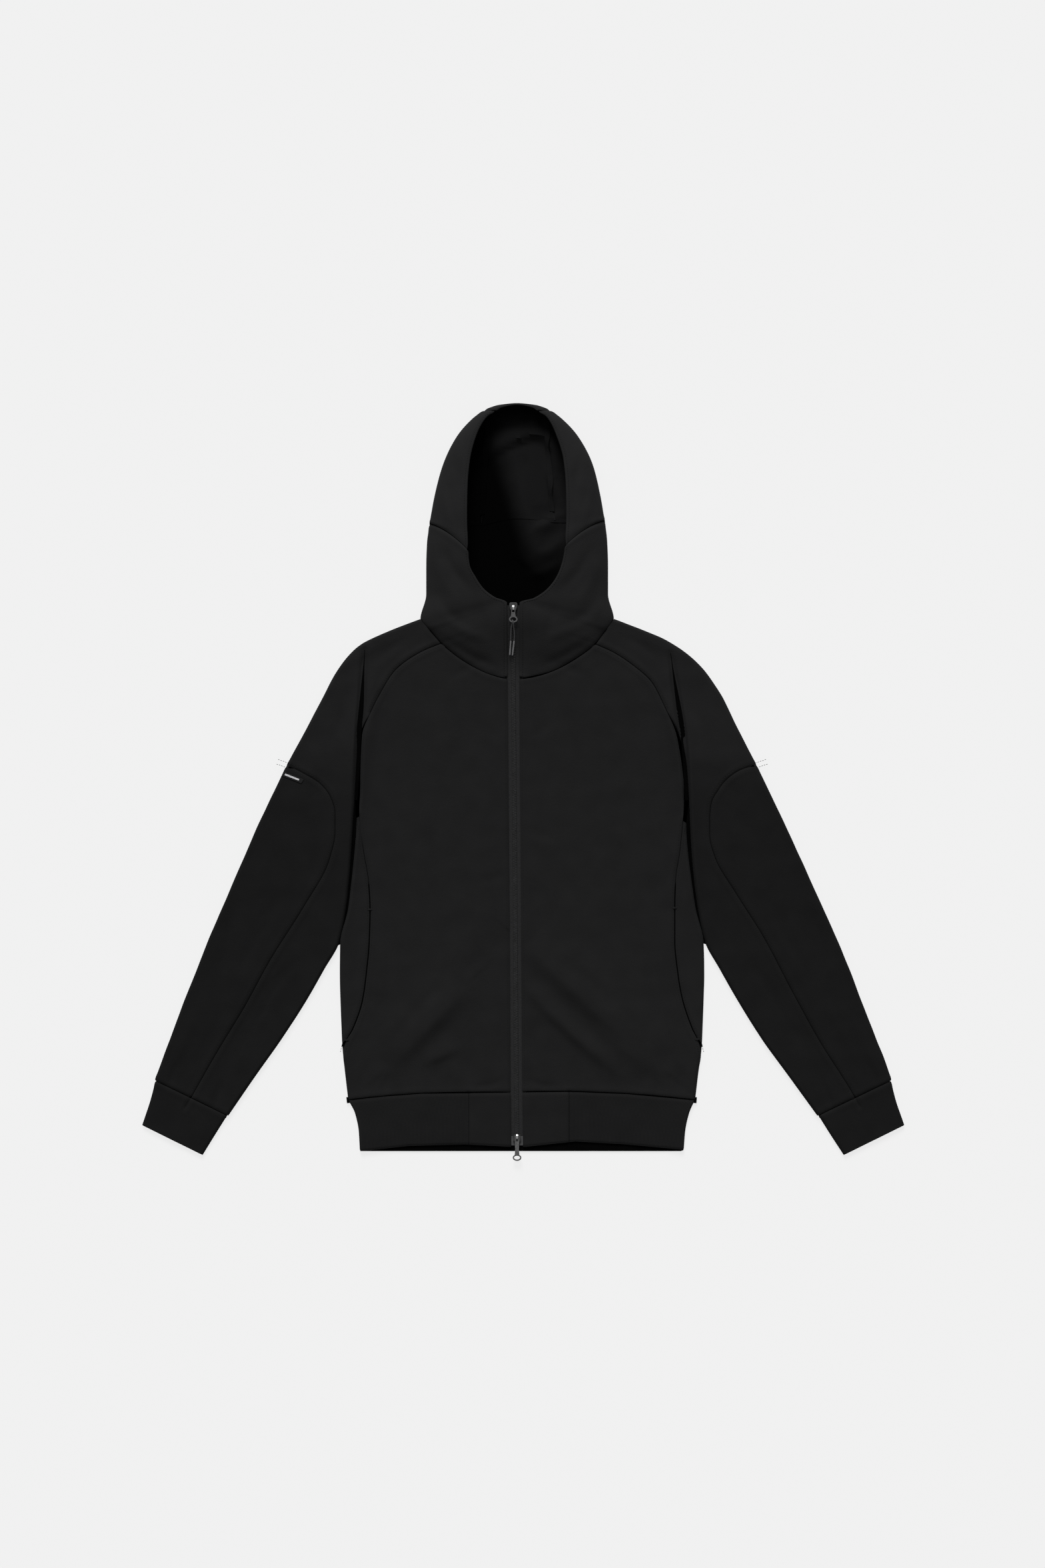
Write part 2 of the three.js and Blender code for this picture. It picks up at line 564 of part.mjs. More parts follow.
function bodyBackOutline() {
  const edgeOf = (side) => {
    const outward = side === 'left' ? -1 : 1;
    const above = BODY[side].filter((row) => !row.side).map((row) => row.seam);
    const beside = BODY[side].filter((row) => row.side);
    const [first] = beside;
    const corner = [first.seam[0], first.side[1] + SEAM_GAP + 1];
    const seam = beside.map((row) => [row.side[0] - outward * (SIDE_UNDER + SEAM_GAP), row.side[1]]);
    seam[0] = [seam[0][0], corner[1]];
    const last = beside[beside.length - 1];
    const step = [last.side[0] - outward * (SIDE_UNDER + SEAM_GAP), last.side[1] - SEAM_GAP];
    const foot = [[last.side[0], last.side[1] - SEAM_GAP], ...BODY_FOOT[side].map((row) => row.seam)];
    return [...above, corner, ...seam, step, ...foot];
  };
  const hemLine = HEM_TOP_LINE.slice(1, -1).map(([x, y]) => [x, y + 2 * SEAM_GAP]);
  return [...edgeOf('left'), ...hemLine, ...edgeOf('right').reverse(), [-8, 176.5]];
}

function makeBody() {
  for (const side of ['left', 'right']) {
    const rows = [...BODY[side], ...BODY_FOOT[side]];
    place(`front_${side}`, wall(rows.map((row) => frontSection(side, row))), COLOURS.cloth);
    const sideRows = BODY[side].filter((row) => row.side);
    place(`side_${side}`, wall(sideRows.map((row) => sideSection(side, row))), COLOURS.cloth);
  }
  place('back', floorPanel(bodyBackOutline()), COLOURS.cloth);
}

// Hem band.
const yOnLine = (line, x) => alongLine(line.map(([a, b]) => ({ x: a, y: b })), 'x', x, 'y');
const HEM_TOP = 5.6;
const HEM_BACK_POINTS = 8;
const HEM_EASE = 18;

function hemHeight(x, row) {
  const fromEdge = Math.min(x - row.left, row.right - x);
  return HEM_TOP + (EDGE_TOP - HEM_TOP) * Math.exp(-fromEdge / EDGE_SOFTNESS);
}

function hemFrontPoint(x, row) {
  const down = (HEM[0].y - row.y) / (HEM[0].y - HEM[HEM.length - 1].y);
  return [x, mix(yOnLine(HEM_TOP_LINE, x), yOnLine(HEM_FREE_EDGE, x), down), hemHeight(x, row)];
}

function hemFold(row, side) {
  const inwardStep = side === 'left' ? 1 : -1;
  const radius = EDGE_TOP / 2;
  return Array.from({ length: FOLD_STEPS }, (_, k) => {
    const angle = Math.PI / 2 - (Math.PI * k) / (FOLD_STEPS - 1);
    return [row[side] + inwardStep * radius * (1 - Math.cos(angle)), row.y, radius * (1 + Math.sin(angle))];
  });
}

function hemSection(row) {
  const ribbed = (side) => {
    const end = HEM_RIB_ENDS[side];
    const foldStart = hemFold(row, side)[0][0];
    const ribs = Math.round(Math.abs(HEM[0][side] - end) / RIB_PITCH);
    return Array.from({ length: 2 * ribs }, (_, k) => hemFrontPoint(mix(end, foldStart, k / (2 * ribs)), row));
  };
  const back = Array.from({ length: HEM_BACK_POINTS }, (_, k) => {
    const t = (k + 1) / (HEM_BACK_POINTS + 1);
    const x = mix(row.left + EDGE_TOP / 2, row.right - EDGE_TOP / 2, t);
    return [x, mix(yOnLine(HEM_TOP_LINE, x), row.y, smooth((HEM[0].y - row.y) / HEM_EASE)), 0];
  });
  return {
    leftRibs: ribbed('left').length,
    points: [
      ...ribbed('left'), ...hemFold(row, 'left'), ...back, ...hemFold(row, 'right').reverse(),
      ...ribbed('right').reverse(),
    ],
  };
}

function makeHem() {
  const sections = HEM.map(hemSection);
  const { leftRibs, points } = sections[0];
  const rightStart = leftRibs + 2 * FOLD_STEPS + HEM_BACK_POINTS;
  const raise = (i, j) => {
    const onLeft = j < leftRibs && j % 2 === 1;
    const onRight = j >= rightStart && (points.length - 1 - j) % 2 === 1;
    return onLeft || onRight ? RIB_HEIGHT : 0;
  };
  place('hem_rib', wall(sections.map((section) => section.points), { raise }), COLOURS.rib);
  for (const side of ['left', 'right']) {
    const outward = side === 'left' ? -1 : 1;
    const start = HEM_RIB_ENDS[side] - outward * SEAM_GAP;
    const rows = HEM.map((row) => {
      const end = zipX(row.y) + outward * ZIP_SHOWN_HALF;
      return [0, 0.25, 0.5, 0.75, 1].map((t) => {
        const [x, y, z] = hemFrontPoint(mix(start, end, t), row);
        return [x, y, z + ZIP_LIFT * smooth(t)];
      });
    });
    place(`hem_end_${side}`, wall(rows), COLOURS.cloth);
  }
}

// Hood and collar.
const RIM_ROLL = 2.5;
const RIM_DROP = 1.2;
const HOOD_SWELL = 1.7;
const HOOD_POINTS = 9;
const zipClimb = (y) => COLLAR_RISE * smooth((y - NECK_Y) / (ZIP_TOP_Y - NECK_Y));
const zipTapeAt = (y) => FRONT_FLOOR + 0.1 + zipClimb(y);

// A swelling climb from the foot of a section to its rim, from t = 0 to t = 1.
const swell = (t) => (1 - (1 - t) ** HOOD_SWELL) ** (1 / HOOD_SWELL);

function climb(outline, rim, low, high, { bow = 0, roll = RIM_DROP, count = HOOD_POINTS } = {}) {
  const length = distance(outline, rim);
  const rollAt = Math.max(0.5, 1 - RIM_ROLL / length);
  return Array.from({ length: count }, (_, k) => {
    const spread = (k / (count - 2)) ** 1.5;
    const t = k === count - 1 ? 1 : spread * rollAt;
    const [x, y] = mixPoint(outline, rim, t);
    const z = k === count - 1 ? high - roll : mix(low, high, swell(t / Math.max(rollAt, t)));
    return [x, y + bow * 4 * t * (1 - t), z];
  });
}

// The lower quarter of the hood's fold and the cloth under it, from the floor up to the outline.
function hoodUnder(outline, toward, foot) {
  const quarter = [0, 1, 2].map((k) => {
    const angle = (Math.PI / 2) * (1 - k / 3);
    const [x, y] = inward(outline, toward, HOOD_FOLD * (1 - Math.cos(angle)));
    return [x, y, HOOD_FOLD * (1 - Math.sin(angle))];
  });
  return [[...foot, 0], [...mixPoint(foot, quarter[0], 0.5), 0], ...quarter];
}

function hoodSection(row, i, rows) {
  const toward = mixPoint(row.rim, row.under, i / (rows.length - 1));
  return [
    ...hoodUnder(row.outline, toward, row.under),
    ...climb(row.outline, row.rim, HOOD_FOLD, row.rise, { bow: row.bow }),
  ];
}

function stripSection(row, under) {
  return [
    ...hoodUnder(row.crown, row.rim, [row.foot, under]),
    ...climb(row.crown, row.rim, HOOD_FOLD, STRIP_RISE, { roll: 0 }),
  ];
}

function collarSection(row) {
  const top = row.fold ? row.rise : REST_TOP + ZIP_LIFT + zipClimb(row.rim[1]);
  const low = row.fold ? FRONT_FLOOR : topHeight(...row.outline);
  return climb(row.outline, row.rim, Math.min(low, top), top, { bow: row.bow, roll: row.fold ? RIM_DROP : 0 });
}

function makeHood() {
  for (const side of ['left', 'right']) {
    place(`hood_${side}`, wall(HOOD_SIDE[side].map(hoodSection)), COLOURS.cloth);
    place(`collar_${side}`, wall(COLLAR[side].map(collarSection)), COLOURS.cloth);
  }
  const feet = [STRIP_FOOT_Y.left, STRIP_FOOT_Y.left + 4, STRIP_FOOT_Y.middle, STRIP_FOOT_Y.right + 3, STRIP_FOOT_Y.right];
  place('hood_strip', wall(HOOD_STRIP.map((row, i) => stripSection(row, feet[i]))), COLOURS.cloth);
  const outlineOf = (side) => COLLAR[side].filter((row) => row.fold).map((row) => row.outline);
  const { left, middle, right } = STRIP_FOOT_Y;
  const seamTop = [[39.7, right - 0.4], [23, right + 2.6], [-8, middle - 0.4], [-39, left + 3.6], [-55.7, left - 0.4]];
  const nape = [[-108.4, 184], [-8, 177], [95.4, 183.2]];
  const outline = [...outlineOf('left'), ...nape, ...outlineOf('right').reverse(), ...seamTop];
  place('collar_back', floorPanel(outline), COLOURS.cloth);
}

// A solid through closed rings of equal count, with flat ends.
function loft(rings) {
  const count = rings[0].length;
  const points = rings.flat().map((point) => new THREE.Vector3(...point));
  const triangles = [];
  for (let i = 0; i < rings.length - 1; i += 1) {
    for (let j = 0; j < count; j += 1) {
      const next = (j + 1) % count;
      const [a, b, c, d] = [i * count + j, i * count + next, (i + 1) * count + next, (i + 1) * count + j];
      triangles.push(a, b, c, a, c, d);
    }
  }
  const section = rings[0].map(([x, , z]) => new THREE.Vector2(x, z));
  const caps = THREE.ShapeUtils.triangulateShape(section, []);
  const turned = THREE.ShapeUtils.isClockWise(section);
  const last = (rings.length - 1) * count;
  for (const [a, b, c] of caps) {
    const start = turned ? [a, b, c] : [a, c, b];
    triangles.push(...start, ...[start[0], start[2], start[1]].map((k) => k + last));
  }
  return closedBody(points, triangles);
}

// Zip tapes, each with its half of the coil and a stiff patch at the hem.
const ZIP_STEPS = 26;
const ZIP_CLEAR = 0.2;
const ZIP_BOTTOM_Y = -480;

function makeZip() {
  for (const side of ['left', 'right']) {
    const outward = side === 'left' ? -1 : 1;
    const section = [
      [ZIP_CLEAR, 0], [ZIP_TAPE_HALF, 0], [ZIP_TAPE_HALF, ZIP_TAPE], [ZIP_CHAIN_HALF, ZIP_TAPE],
      [ZIP_CHAIN_HALF, ZIP_TAPE + ZIP_CHAIN_HEIGHT], [ZIP_CLEAR, ZIP_TAPE + ZIP_CHAIN_HEIGHT],
    ];
    const rings = Array.from({ length: ZIP_STEPS }, (_, k) => {
      const y = k === 0 ? ZIP_BOTTOM_Y : mix(NECK_Y - 10, ZIP_TOP_Y - 1, (k - 1) / (ZIP_STEPS - 2));
      const middle = zipX(y);
      return section.map(([x, z]) => [middle + outward * x, y, zipTapeAt(y) + z]);
    });
    place(`zip_${side}`, loft(rings), COLOURS.tape);
  }
}

// Sliders and pulls. A pull is a plate whose slot goes round the slider's bridge.
const SLIDER = { above: 6.75, below: 2.75, headHalf: 5.2, footHalf: 4.0, plate: 1.6, clear: 0.3 };
const BRIDGE = { inner: 2.6, outer: 3.8, halfWidth: 1.1, barHeight: 1.5 };
const PULL = { thickness: 1.3, barEnd: 0.75, stemHalf: 3.1, slotHalf: 1.7, slotFrom: 0.9, slotTo: 6.2 };
const TOP_ZIPPER = { x: -13, y: 229, turn: 0, reach: 15.5, ringX: 5.6, ringY: 4.4, tilt: 0.2 };
const BOTTOM_ZIPPER = { x: -8.1, y: -467, turn: Math.PI, reach: 28.1, ringX: 5.7, ringY: 4.2, tilt: 0.02 };
const RING_WALL = 1.7;

const chainTopAt = (y) => zipTapeAt(y) + ZIP_TAPE + ZIP_CHAIN_HEIGHT;
const barHeightOf = (zipper) => chainTopAt(zipper.y) + SLIDER.clear + SLIDER.plate + BRIDGE.barHeight;

function sliderGeometry() {
  const outline = [
    [-SLIDER.headHalf, SLIDER.above - 1.5], [-SLIDER.headHalf + 1.5, SLIDER.above],
    [SLIDER.headHalf - 1.5, SLIDER.above], [SLIDER.headHalf, SLIDER.above - 1.5], [SLIDER.headHalf, 2.5],
    [SLIDER.footHalf, -SLIDER.below], [-SLIDER.footHalf, -SLIDER.below], [-SLIDER.headHalf, 2.5],
  ];
  const plateShape = new THREE.Shape(outline.map(([x, y]) => new THREE.Vector2(x, y)));
  const plate = toSolid(new THREE.ExtrudeGeometry(plateShape, { depth: SLIDER.plate, bevelEnabled: false }));
  const bridgeShape = new THREE.Shape();
  bridgeShape.moveTo(BRIDGE.outer, -BRIDGE.barHeight - 0.5);
  bridgeShape.lineTo(BRIDGE.outer, 0);
  bridgeShape.absarc(0, 0, BRIDGE.outer, 0, Math.PI, false);
  bridgeShape.lineTo(-BRIDGE.outer, -BRIDGE.barHeight - 0.5);
  bridgeShape.lineTo(-BRIDGE.inner, -BRIDGE.barHeight - 0.5);
  bridgeShape.lineTo(-BRIDGE.inner, 0);
  bridgeShape.absarc(0, 0, BRIDGE.inner, Math.PI, 0, true);
  bridgeShape.lineTo(BRIDGE.inner, -BRIDGE.barHeight - 0.5);
  const width = 2 * BRIDGE.halfWidth;
  const bridge = new THREE.ExtrudeGeometry(bridgeShape, { depth: width, bevelEnabled: false, curveSegments: 8 });
  bridge.rotateY(Math.PI / 2);
  bridge.rotateX(Math.PI / 2);
  bridge.translate(-BRIDGE.halfWidth, 0, SLIDER.plate + BRIDGE.barHeight);
  return toGeometry(plate.add(toSolid(bridge)));
}

function pullGeometry({ reach, ringX, ringY }) {
  const shape = new THREE.Shape();
  const neck = Math.asin(Math.min(1, PULL.stemHalf / ringX));
  shape.moveTo(-PULL.stemHalf, PULL.barEnd);
  shape.lineTo(-PULL.stemHalf + 0.6, -(reach - ringY) * 0.7);
  shape.absellipse(0, -reach, ringX, ringY, Math.PI / 2 + neck, Math.PI / 2 - neck + 2 * Math.PI, false);
  shape.lineTo(PULL.stemHalf - 0.6, -(reach - ringY) * 0.7);
  shape.lineTo(PULL.stemHalf, PULL.barEnd);
  const slot = new THREE.Path();
  slot.moveTo(-PULL.slotHalf, -PULL.slotFrom);
  slot.lineTo(PULL.slotHalf, -PULL.slotFrom);
  slot.lineTo(PULL.slotHalf, -PULL.slotTo);
  slot.lineTo(-PULL.slotHalf, -PULL.slotTo);
  const eye = new THREE.Path();
  eye.absellipse(0, -reach, ringX - RING_WALL, ringY - RING_WALL, 0, 2 * Math.PI, false);
  shape.holes.push(slot, eye);
  const plate = new THREE.ExtrudeGeometry(shape, { depth: PULL.thickness, bevelEnabled: false, curveSegments: 24 });
  plate.translate(0, 0, -PULL.thickness / 2);
  return plate;
}

function makeZippers() {
  for (const [name, zipper] of [['top', TOP_ZIPPER], ['bottom', BOTTOM_ZIPPER]]) {
    const slider = place(`slider_${name}`, sliderGeometry(), COLOURS.steel, SATIN, 1);
    slider.position.set(zipper.x, zipper.y, chainTopAt(zipper.y) + SLIDER.clear);
    slider.rotation.z = zipper.turn;
    const pull = place(`pull_${name}`, pullGeometry(zipper), COLOURS.steel, SATIN, 1);
    pull.position.set(zipper.x, zipper.y, barHeightOf(zipper));
    pull.rotation.x = zipper.tilt;
  }
}

// Pull cord: doubled through the top pull's ring, with a stiff tip on each free end.
const CORD_RADIUS = 0.8;
const TIP_RADIUS = 1.05;
const CORD_ROUTE = [
  [-16.3, 186, 18.8], [-16.2, 192, 20.8], [-16.0, 198, 22.9], [-15.6, 204, 24.9], [-15.0, 208, 26.0],
  [-14.7, 210.3, 26.4], [-14.5, 211.8, 26.6], [-14.3, 212.5, 27.5], [-14.1, 212.6, 28.5], [-13.9, 212.0, 29.4],
  [-13.7, 211.2, 30.0], [-13.4, 210.2, 30.2], [-13.1, 207.5, 29.3], [-12.4, 203, 26.6], [-11.7, 197, 23.4],
  [-11.4, 192, 21.2], [-11.9, 186, 18.8],
];
const TIPS = {
  left: { from: [-16.3, 185.6, 18.7], to: [-17.6, 167.6, 12.2] },
  right: { from: [-11.9, 185.6, 18.7], to: [-14.1, 167.2, 12.2] },
};
const CORD_STEPS = 30;

function rodAlong(curve, radius, sides, steps) {
  const circle = new THREE.Shape(Array.from({ length: sides }, (_, k) => {
    const angle = (2 * Math.PI * k) / sides;
    return new THREE.Vector2(radius * Math.cos(angle), radius * Math.sin(angle));
  }));
  return new THREE.ExtrudeGeometry(circle, { extrudePath: curve, steps, bevelEnabled: false });
}

function makeCord() {
  const route = new THREE.CatmullRomCurve3(CORD_ROUTE.map((point) => new THREE.Vector3(...point)));
  place('pull_cord', rodAlong(route, CORD_RADIUS, 8, CORD_STEPS), COLOURS.cord);
  for (const side of ['left', 'right']) {
    const line = new THREE.LineCurve3(new THREE.Vector3(...TIPS[side].from), new THREE.Vector3(...TIPS[side].to));
    place(`tip_${side}`, rodAlong(line, TIP_RADIUS, 12, 1), COLOURS.tip, SATIN);
  }
}

// Sleeve label: made from the points of the elbow panel, moved out.
const LABEL_SECTIONS = [0.1, 0.35, 0.6].map((t) => ({
  outer: mixPoint([-313.5, 19], [-318.5, 9], t),
  inner: mixPoint([-288, 5.5], [-294, -2.5], t),
}));
const LABEL_LIFT = 0.35;
const LABEL_THICKNESS = 0.5;
const LABEL_POINTS = 5;

function makeLabel() {
  const out = LABEL_LIFT + LABEL_THICKNESS;
  const rows = LABEL_SECTIONS.map(({ outer, inner }) => Array.from({ length: LABEL_POINTS }, (_, k) => {
    const [x, y] = mixPoint(outer, inner, k / (LABEL_POINTS - 1));
    return [x, y, topHeight(x, y) + out];
  }));
  place('label', wall(rows, { thickness: LABEL_THICKNESS }), COLOURS.tape);
}

makeSleeve('left');
makeSleeve('right');
makeBody();
makeHem();
makeHood();
makeZip();
makeZippers();
makeCord();
makeLabel();

export default groupOfParts;
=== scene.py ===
"""A black zip up hoodie that lies flat on its back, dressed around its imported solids.

Plan points and heights are in millimetres in the row frame and become metres when a mesh is made.
"""
import math
import random

import bpy
import numpy as np
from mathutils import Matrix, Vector


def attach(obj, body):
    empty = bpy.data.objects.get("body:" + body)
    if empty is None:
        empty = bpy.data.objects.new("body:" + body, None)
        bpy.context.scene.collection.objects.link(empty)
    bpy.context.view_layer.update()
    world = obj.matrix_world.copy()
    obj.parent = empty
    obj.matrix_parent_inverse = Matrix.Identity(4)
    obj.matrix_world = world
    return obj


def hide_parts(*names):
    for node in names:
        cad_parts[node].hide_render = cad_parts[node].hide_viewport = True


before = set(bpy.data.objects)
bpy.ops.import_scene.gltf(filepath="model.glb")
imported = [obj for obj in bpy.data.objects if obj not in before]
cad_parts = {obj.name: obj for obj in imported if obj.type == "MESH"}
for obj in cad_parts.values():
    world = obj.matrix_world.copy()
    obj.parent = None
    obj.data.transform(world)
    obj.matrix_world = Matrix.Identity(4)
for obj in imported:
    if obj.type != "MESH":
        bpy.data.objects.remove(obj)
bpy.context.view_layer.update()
random.seed(11)

MM = 0.001
SIDES = ("left", "right")
OUTWARD = {"left": -1, "right": 1}

# Driving sizes of the cloth and of how it lies.
CLOTH = 2.0
LAYER_GAP = 0.3
SEAM_GAP = 0.3
REST_TOP = 5.3
EDGE_TOP = 7.6
EDGE_SOFTNESS = 18
LOWEST_TOP = CLOTH * 2 + LAYER_GAP + 0.1
FRONT_FLOOR = CLOTH + LAYER_GAP

# Driving sizes of the zip.
ZIP_TAPE_HALF = 13
ZIP_SHOWN_HALF = 7.7
ZIP_TAPE = 1.0
ZIP_CHAIN_HALF = 2.9
ZIP_CHAIN_HEIGHT = 1.5
ZIP_LIFT = 0.8
ZIP_LIFT_WIDTH = 14
ZIP_LINE = [(-481, -8), (-409, -9), (-112, -11), (136, -13), (236, -13)]
ZIP_BOTTOM_Y = -480
NECK_Y = 136
ZIP_TOP_Y = 235
COLLAR_RISE = 24
SIDE_UNDER = 30

# Camera: the photograph's frame is 1568 by 2352 pixels at 0.88 mm a pixel, seen from straight above.
PIXEL = 0.88
FRAME_TALL = 2352 * PIXEL * MM
FRAME_MIDDLE = (-0.9 * MM, -2.6 * MM)
CAMERA_HEIGHT = 4.9
SENSOR = 36


def add_camera():
    data = bpy.data.cameras.new("camera")
    data.sensor_width = SENSOR
    data.lens = SENSOR * CAMERA_HEIGHT / FRAME_TALL
    camera = bpy.data.objects.new("camera", data)
    camera.location = (*FRAME_MIDDLE, CAMERA_HEIGHT)
    bpy.context.scene.collection.objects.link(camera)
    bpy.context.scene.camera = camera


# The pull cord's route through the ring.
CORD_ROUTE = [
    (-16.3, 186, 18.8), (-16.2, 192, 20.8), (-16.0, 198, 22.9), (-15.6, 204, 24.9), (-15.0, 208, 26.0),
    (-14.7, 210.3, 26.4), (-14.5, 211.8, 26.6), (-14.3, 212.5, 27.5), (-14.1, 212.6, 28.5), (-13.9, 212.0, 29.4),
    (-13.7, 211.2, 30.0), (-13.4, 210.2, 30.2), (-13.1, 207.5, 29.3), (-12.4, 203, 26.6), (-11.7, 197, 23.4),
    (-11.4, 192, 21.2), (-11.9, 186, 18.8),
]
CORD_DIAMETER = 1.6


CORD_SIDES = 10
CORD_STEPS = 120


def tube_points(route, radius, sides):
    """Rings of a round tube along a route, with the frame carried along it so that it doesn't twist."""
    way = np.gradient(route, axis=0)
    way /= np.linalg.norm(way, axis=1, keepdims=True)
    side = np.cross(way[0], (0, 0, 1))
    rings = []
    for centre, direction in zip(route, way):
        side = side - direction * (side @ direction)
        side /= np.linalg.norm(side)
        up = np.cross(direction, side)
        angles = 2 * math.pi * np.arange(sides) / sides
        rings.append(centre + radius * (np.outer(np.cos(angles), side) + np.outer(np.sin(angles), up)))
    return np.concatenate(rings)


def add_cord():
    """The braided cord as one tube, its turns rounded between the route's points."""
    points = np.array(CORD_ROUTE)
    knots = np.concatenate([[0], np.cumsum(np.linalg.norm(np.diff(points, axis=0), axis=1))])
    at = np.linspace(0, knots[-1], CORD_STEPS)
    route = np.column_stack([np.interp(at, knots, points[:, k]) for k in range(3)])
    eased = route.copy()
    for _ in range(3):
        eased[1:-1] = (eased[:-2] + 2 * eased[1:-1] + eased[2:]) / 4
    rings = tube_points(eased, CORD_DIAMETER / 2, CORD_SIDES)
    faces = [tuple(range(CORD_SIDES))[::-1], tuple(len(rings) - CORD_SIDES + k for k in range(CORD_SIDES))]
    for step in range(CORD_STEPS - 1):
        for k in range(CORD_SIDES):
            a, b = step * CORD_SIDES + k, step * CORD_SIDES + (k + 1) % CORD_SIDES
            faces.append((a, b, b + CORD_SIDES, a + CORD_SIDES))
    mesh = bpy.data.meshes.new("pull_cord_soft")
    mesh.from_pydata((rings * MM).tolist(), [], faces)
    mesh.shade_smooth()
    cord = bpy.data.objects.new("pull_cord_soft", mesh)
    bpy.context.scene.collection.objects.link(cord)
    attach(cord, "top_pull")
    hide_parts("pull_cord")
    return cord


add_camera()
pull_cord = add_cord()

# Sleeve with its shoulder: sections from the outer fold to the inner edge, and whether the section
# is open, so that it ends in the raglan seam.
SLEEVE_COLUMNS = ("outer x", "outer y", "inner x", "inner y", "open")
SLEEVE = {
    "left": [
        (-136, 215, -109, 183, 1),
        (-177, 199, -135, 172, 1),
        (-217, 179, -169, 148, 1),
        (-246, 146, -188, 119, 1),
        (-262, 116, -202, 91, 1),
        (-284, 74, -215, 60, 0),
        (-311, 24, -218, 20, 0),
        (-330, -15, -220.6, -24, 0),
        (-349, -55, -223.6, -68, 0),
        (-370, -103, -227.4, -116, 0),
        (-389, -147, -233, -165, 0),
        (-414, -205, -243, -212, 0),
        (-431, -248, -263, -248, 0),
        (-447, -288, -287, -290, 0),
        (-466, -339, -320, -341, 0),
        (-476, -366, -354, -389, 0),
        (-486, -393, -389, -440, 0),
    ],
    "right": [
        (120, 215, 96, 182, 1),
        (154, 202, 120, 171, 1),
        (190, 186, 147, 153, 1),
        (228, 159, 170, 132, 1),
        (260, 117, 189, 95, 1),
        (281, 75, 205, 60, 0),
        (307, 24, 213.6, 20, 0),
        (326, -15, 217, -24, 0),
        (345, -55, 219, -68, 0),
        (367, -103, 223, -116, 0),
        (387, -147, 229.8, -165, 0),
        (413, -205, 240, -211, 0),
        (431, -248, 260, -248, 0),
        (446, -288, 284, -290, 0),
        (466, -339, 316, -341, 0),
        (476, -364, 351, -389, 0),
        (486, -393, 388, -440, 0),
    ],
}
CUFF = {
    "left": [(-485.1, -393.8, -390.5, -439.7, 0), (-494, -424, -407, -466, 0), (-504, -452, -423, -492, 0)],
    "right": [(485.1, -393.8, 389.5, -439.7, 0), (494, -424, 406, -466, 0), (504, -452, 423, -492, 0)],
}

# Elbow seam: from the outer fold under the shoulder down to the cuff.
ELBOW_SEAM = {
    "left": [
        (-325, 27), (-311, 22), (-289, 11), (-267, -3), (-254, -20), (-248, -41), (-248, -64), (-256, -103),
        (-290, -165), (-334, -235), (-368, -297), (-405, -358), (-437, -414), (-446, -430),
    ],
    "right": [
        (322, 27), (310, 23), (289, 17), (269, 4), (257, -11), (248, -28), (246, -48), (246, -69), (253, -99),
        (281, -147), (317, -204), (355, -276), (392, -343), (435, -411), (444, -428),
    ],
}

# Body: sections from the neck to the hem seam. The front ends at the raglan seam, then at the fold
# beside the sleeve, and from the armpit down at the curved side seam. Bow lifts a section's middle.
BODY_COLUMNS = ("zip y", "seam x", "seam y", "bow", "fold")
BODY = {
    "left": [
        (135.5, -108.6, 182.6, -8, 0),
        (118, -134.8, 171.6, -6, 0),
        (96, -168.8, 147.6, -3, 0),
        (76, -187.7, 118.8, -1, 0),
        (58, -201.7, 90.9, 0, 0),
        (36, -214, 60, 0, 1),
        (10, -217, 20, 0, 1),
        (-12, -217.3, -5, 0, 1),
        (-46, -216, -46, 0, 0),
        (-94, -210, -94, 0, 0),
        (-131, -204, -131, 0, 0),
        (-168, -202, -168, 0, 0),
        (-209, -203, -209, 0, 0),
        (-253, -207, -253, 0, 0),
        (-288, -212, -288, 0, 0),
        (-326, -225, -326, 0, 0),
        (-343, -233, -340, 1, 0),
        (-358, -238, -357, 1, 1),
        (-385, -235, -385, 2, 1),
        (-408.8, -231, -418.5, 4, 1),
    ],
    "right": [
        (135.5, 95.6, 181.6, -10, 0),
        (118, 119.8, 170.6, -8, 0),
        (96, 146.7, 152.6, -5, 0),
        (76, 169.7, 131.7, -1, 0),
        (58, 188.6, 94.9, 0, 0),
        (36, 204, 60, 0, 1),
        (10, 212, 20, 0, 1),
        (-14, 214.4, -8, 0, 1),
        (-50, 210.5, -52, 0, 0),
        (-90, 206.5, -92, 0, 0),
        (-130, 201, -130, 0, 0),
        (-168, 200, -166, 0, 0),
        (-210, 200, -210, 0, 0),
        (-252, 204, -252, 0, 0),
        (-285, 209, -282, 0, 0),
        (-325, 223, -325, 0, 0),
        (-343, 230, -339, 1, 0),
        (-358, 235, -357, 1, 1),
        (-385, 231, -385, 2, 1),
        (-407.8, 227, -418.5, 4, 1),
    ],
}
FIRST_SIDE_ROW = 8
LAST_SIDE_ROW = 16

# Outer edge of the side panels, beside the body's rows from the armpit down to the side seam's foot.
SIDE_EDGE = {
    "left": [
        (-220.5, -47), (-224.2, -96), (-227.4, -132), (-231.4, -168), (-241.5, -212), (-242, -253),
        (-241, -292), (-239.5, -330), (-239, -343),
    ],
    "right": [
        (216.2, -54), (219, -94), (223, -131), (228, -168), (238, -211), (239, -253), (238, -290),
        (236.5, -330), (236, -343),
    ],
}

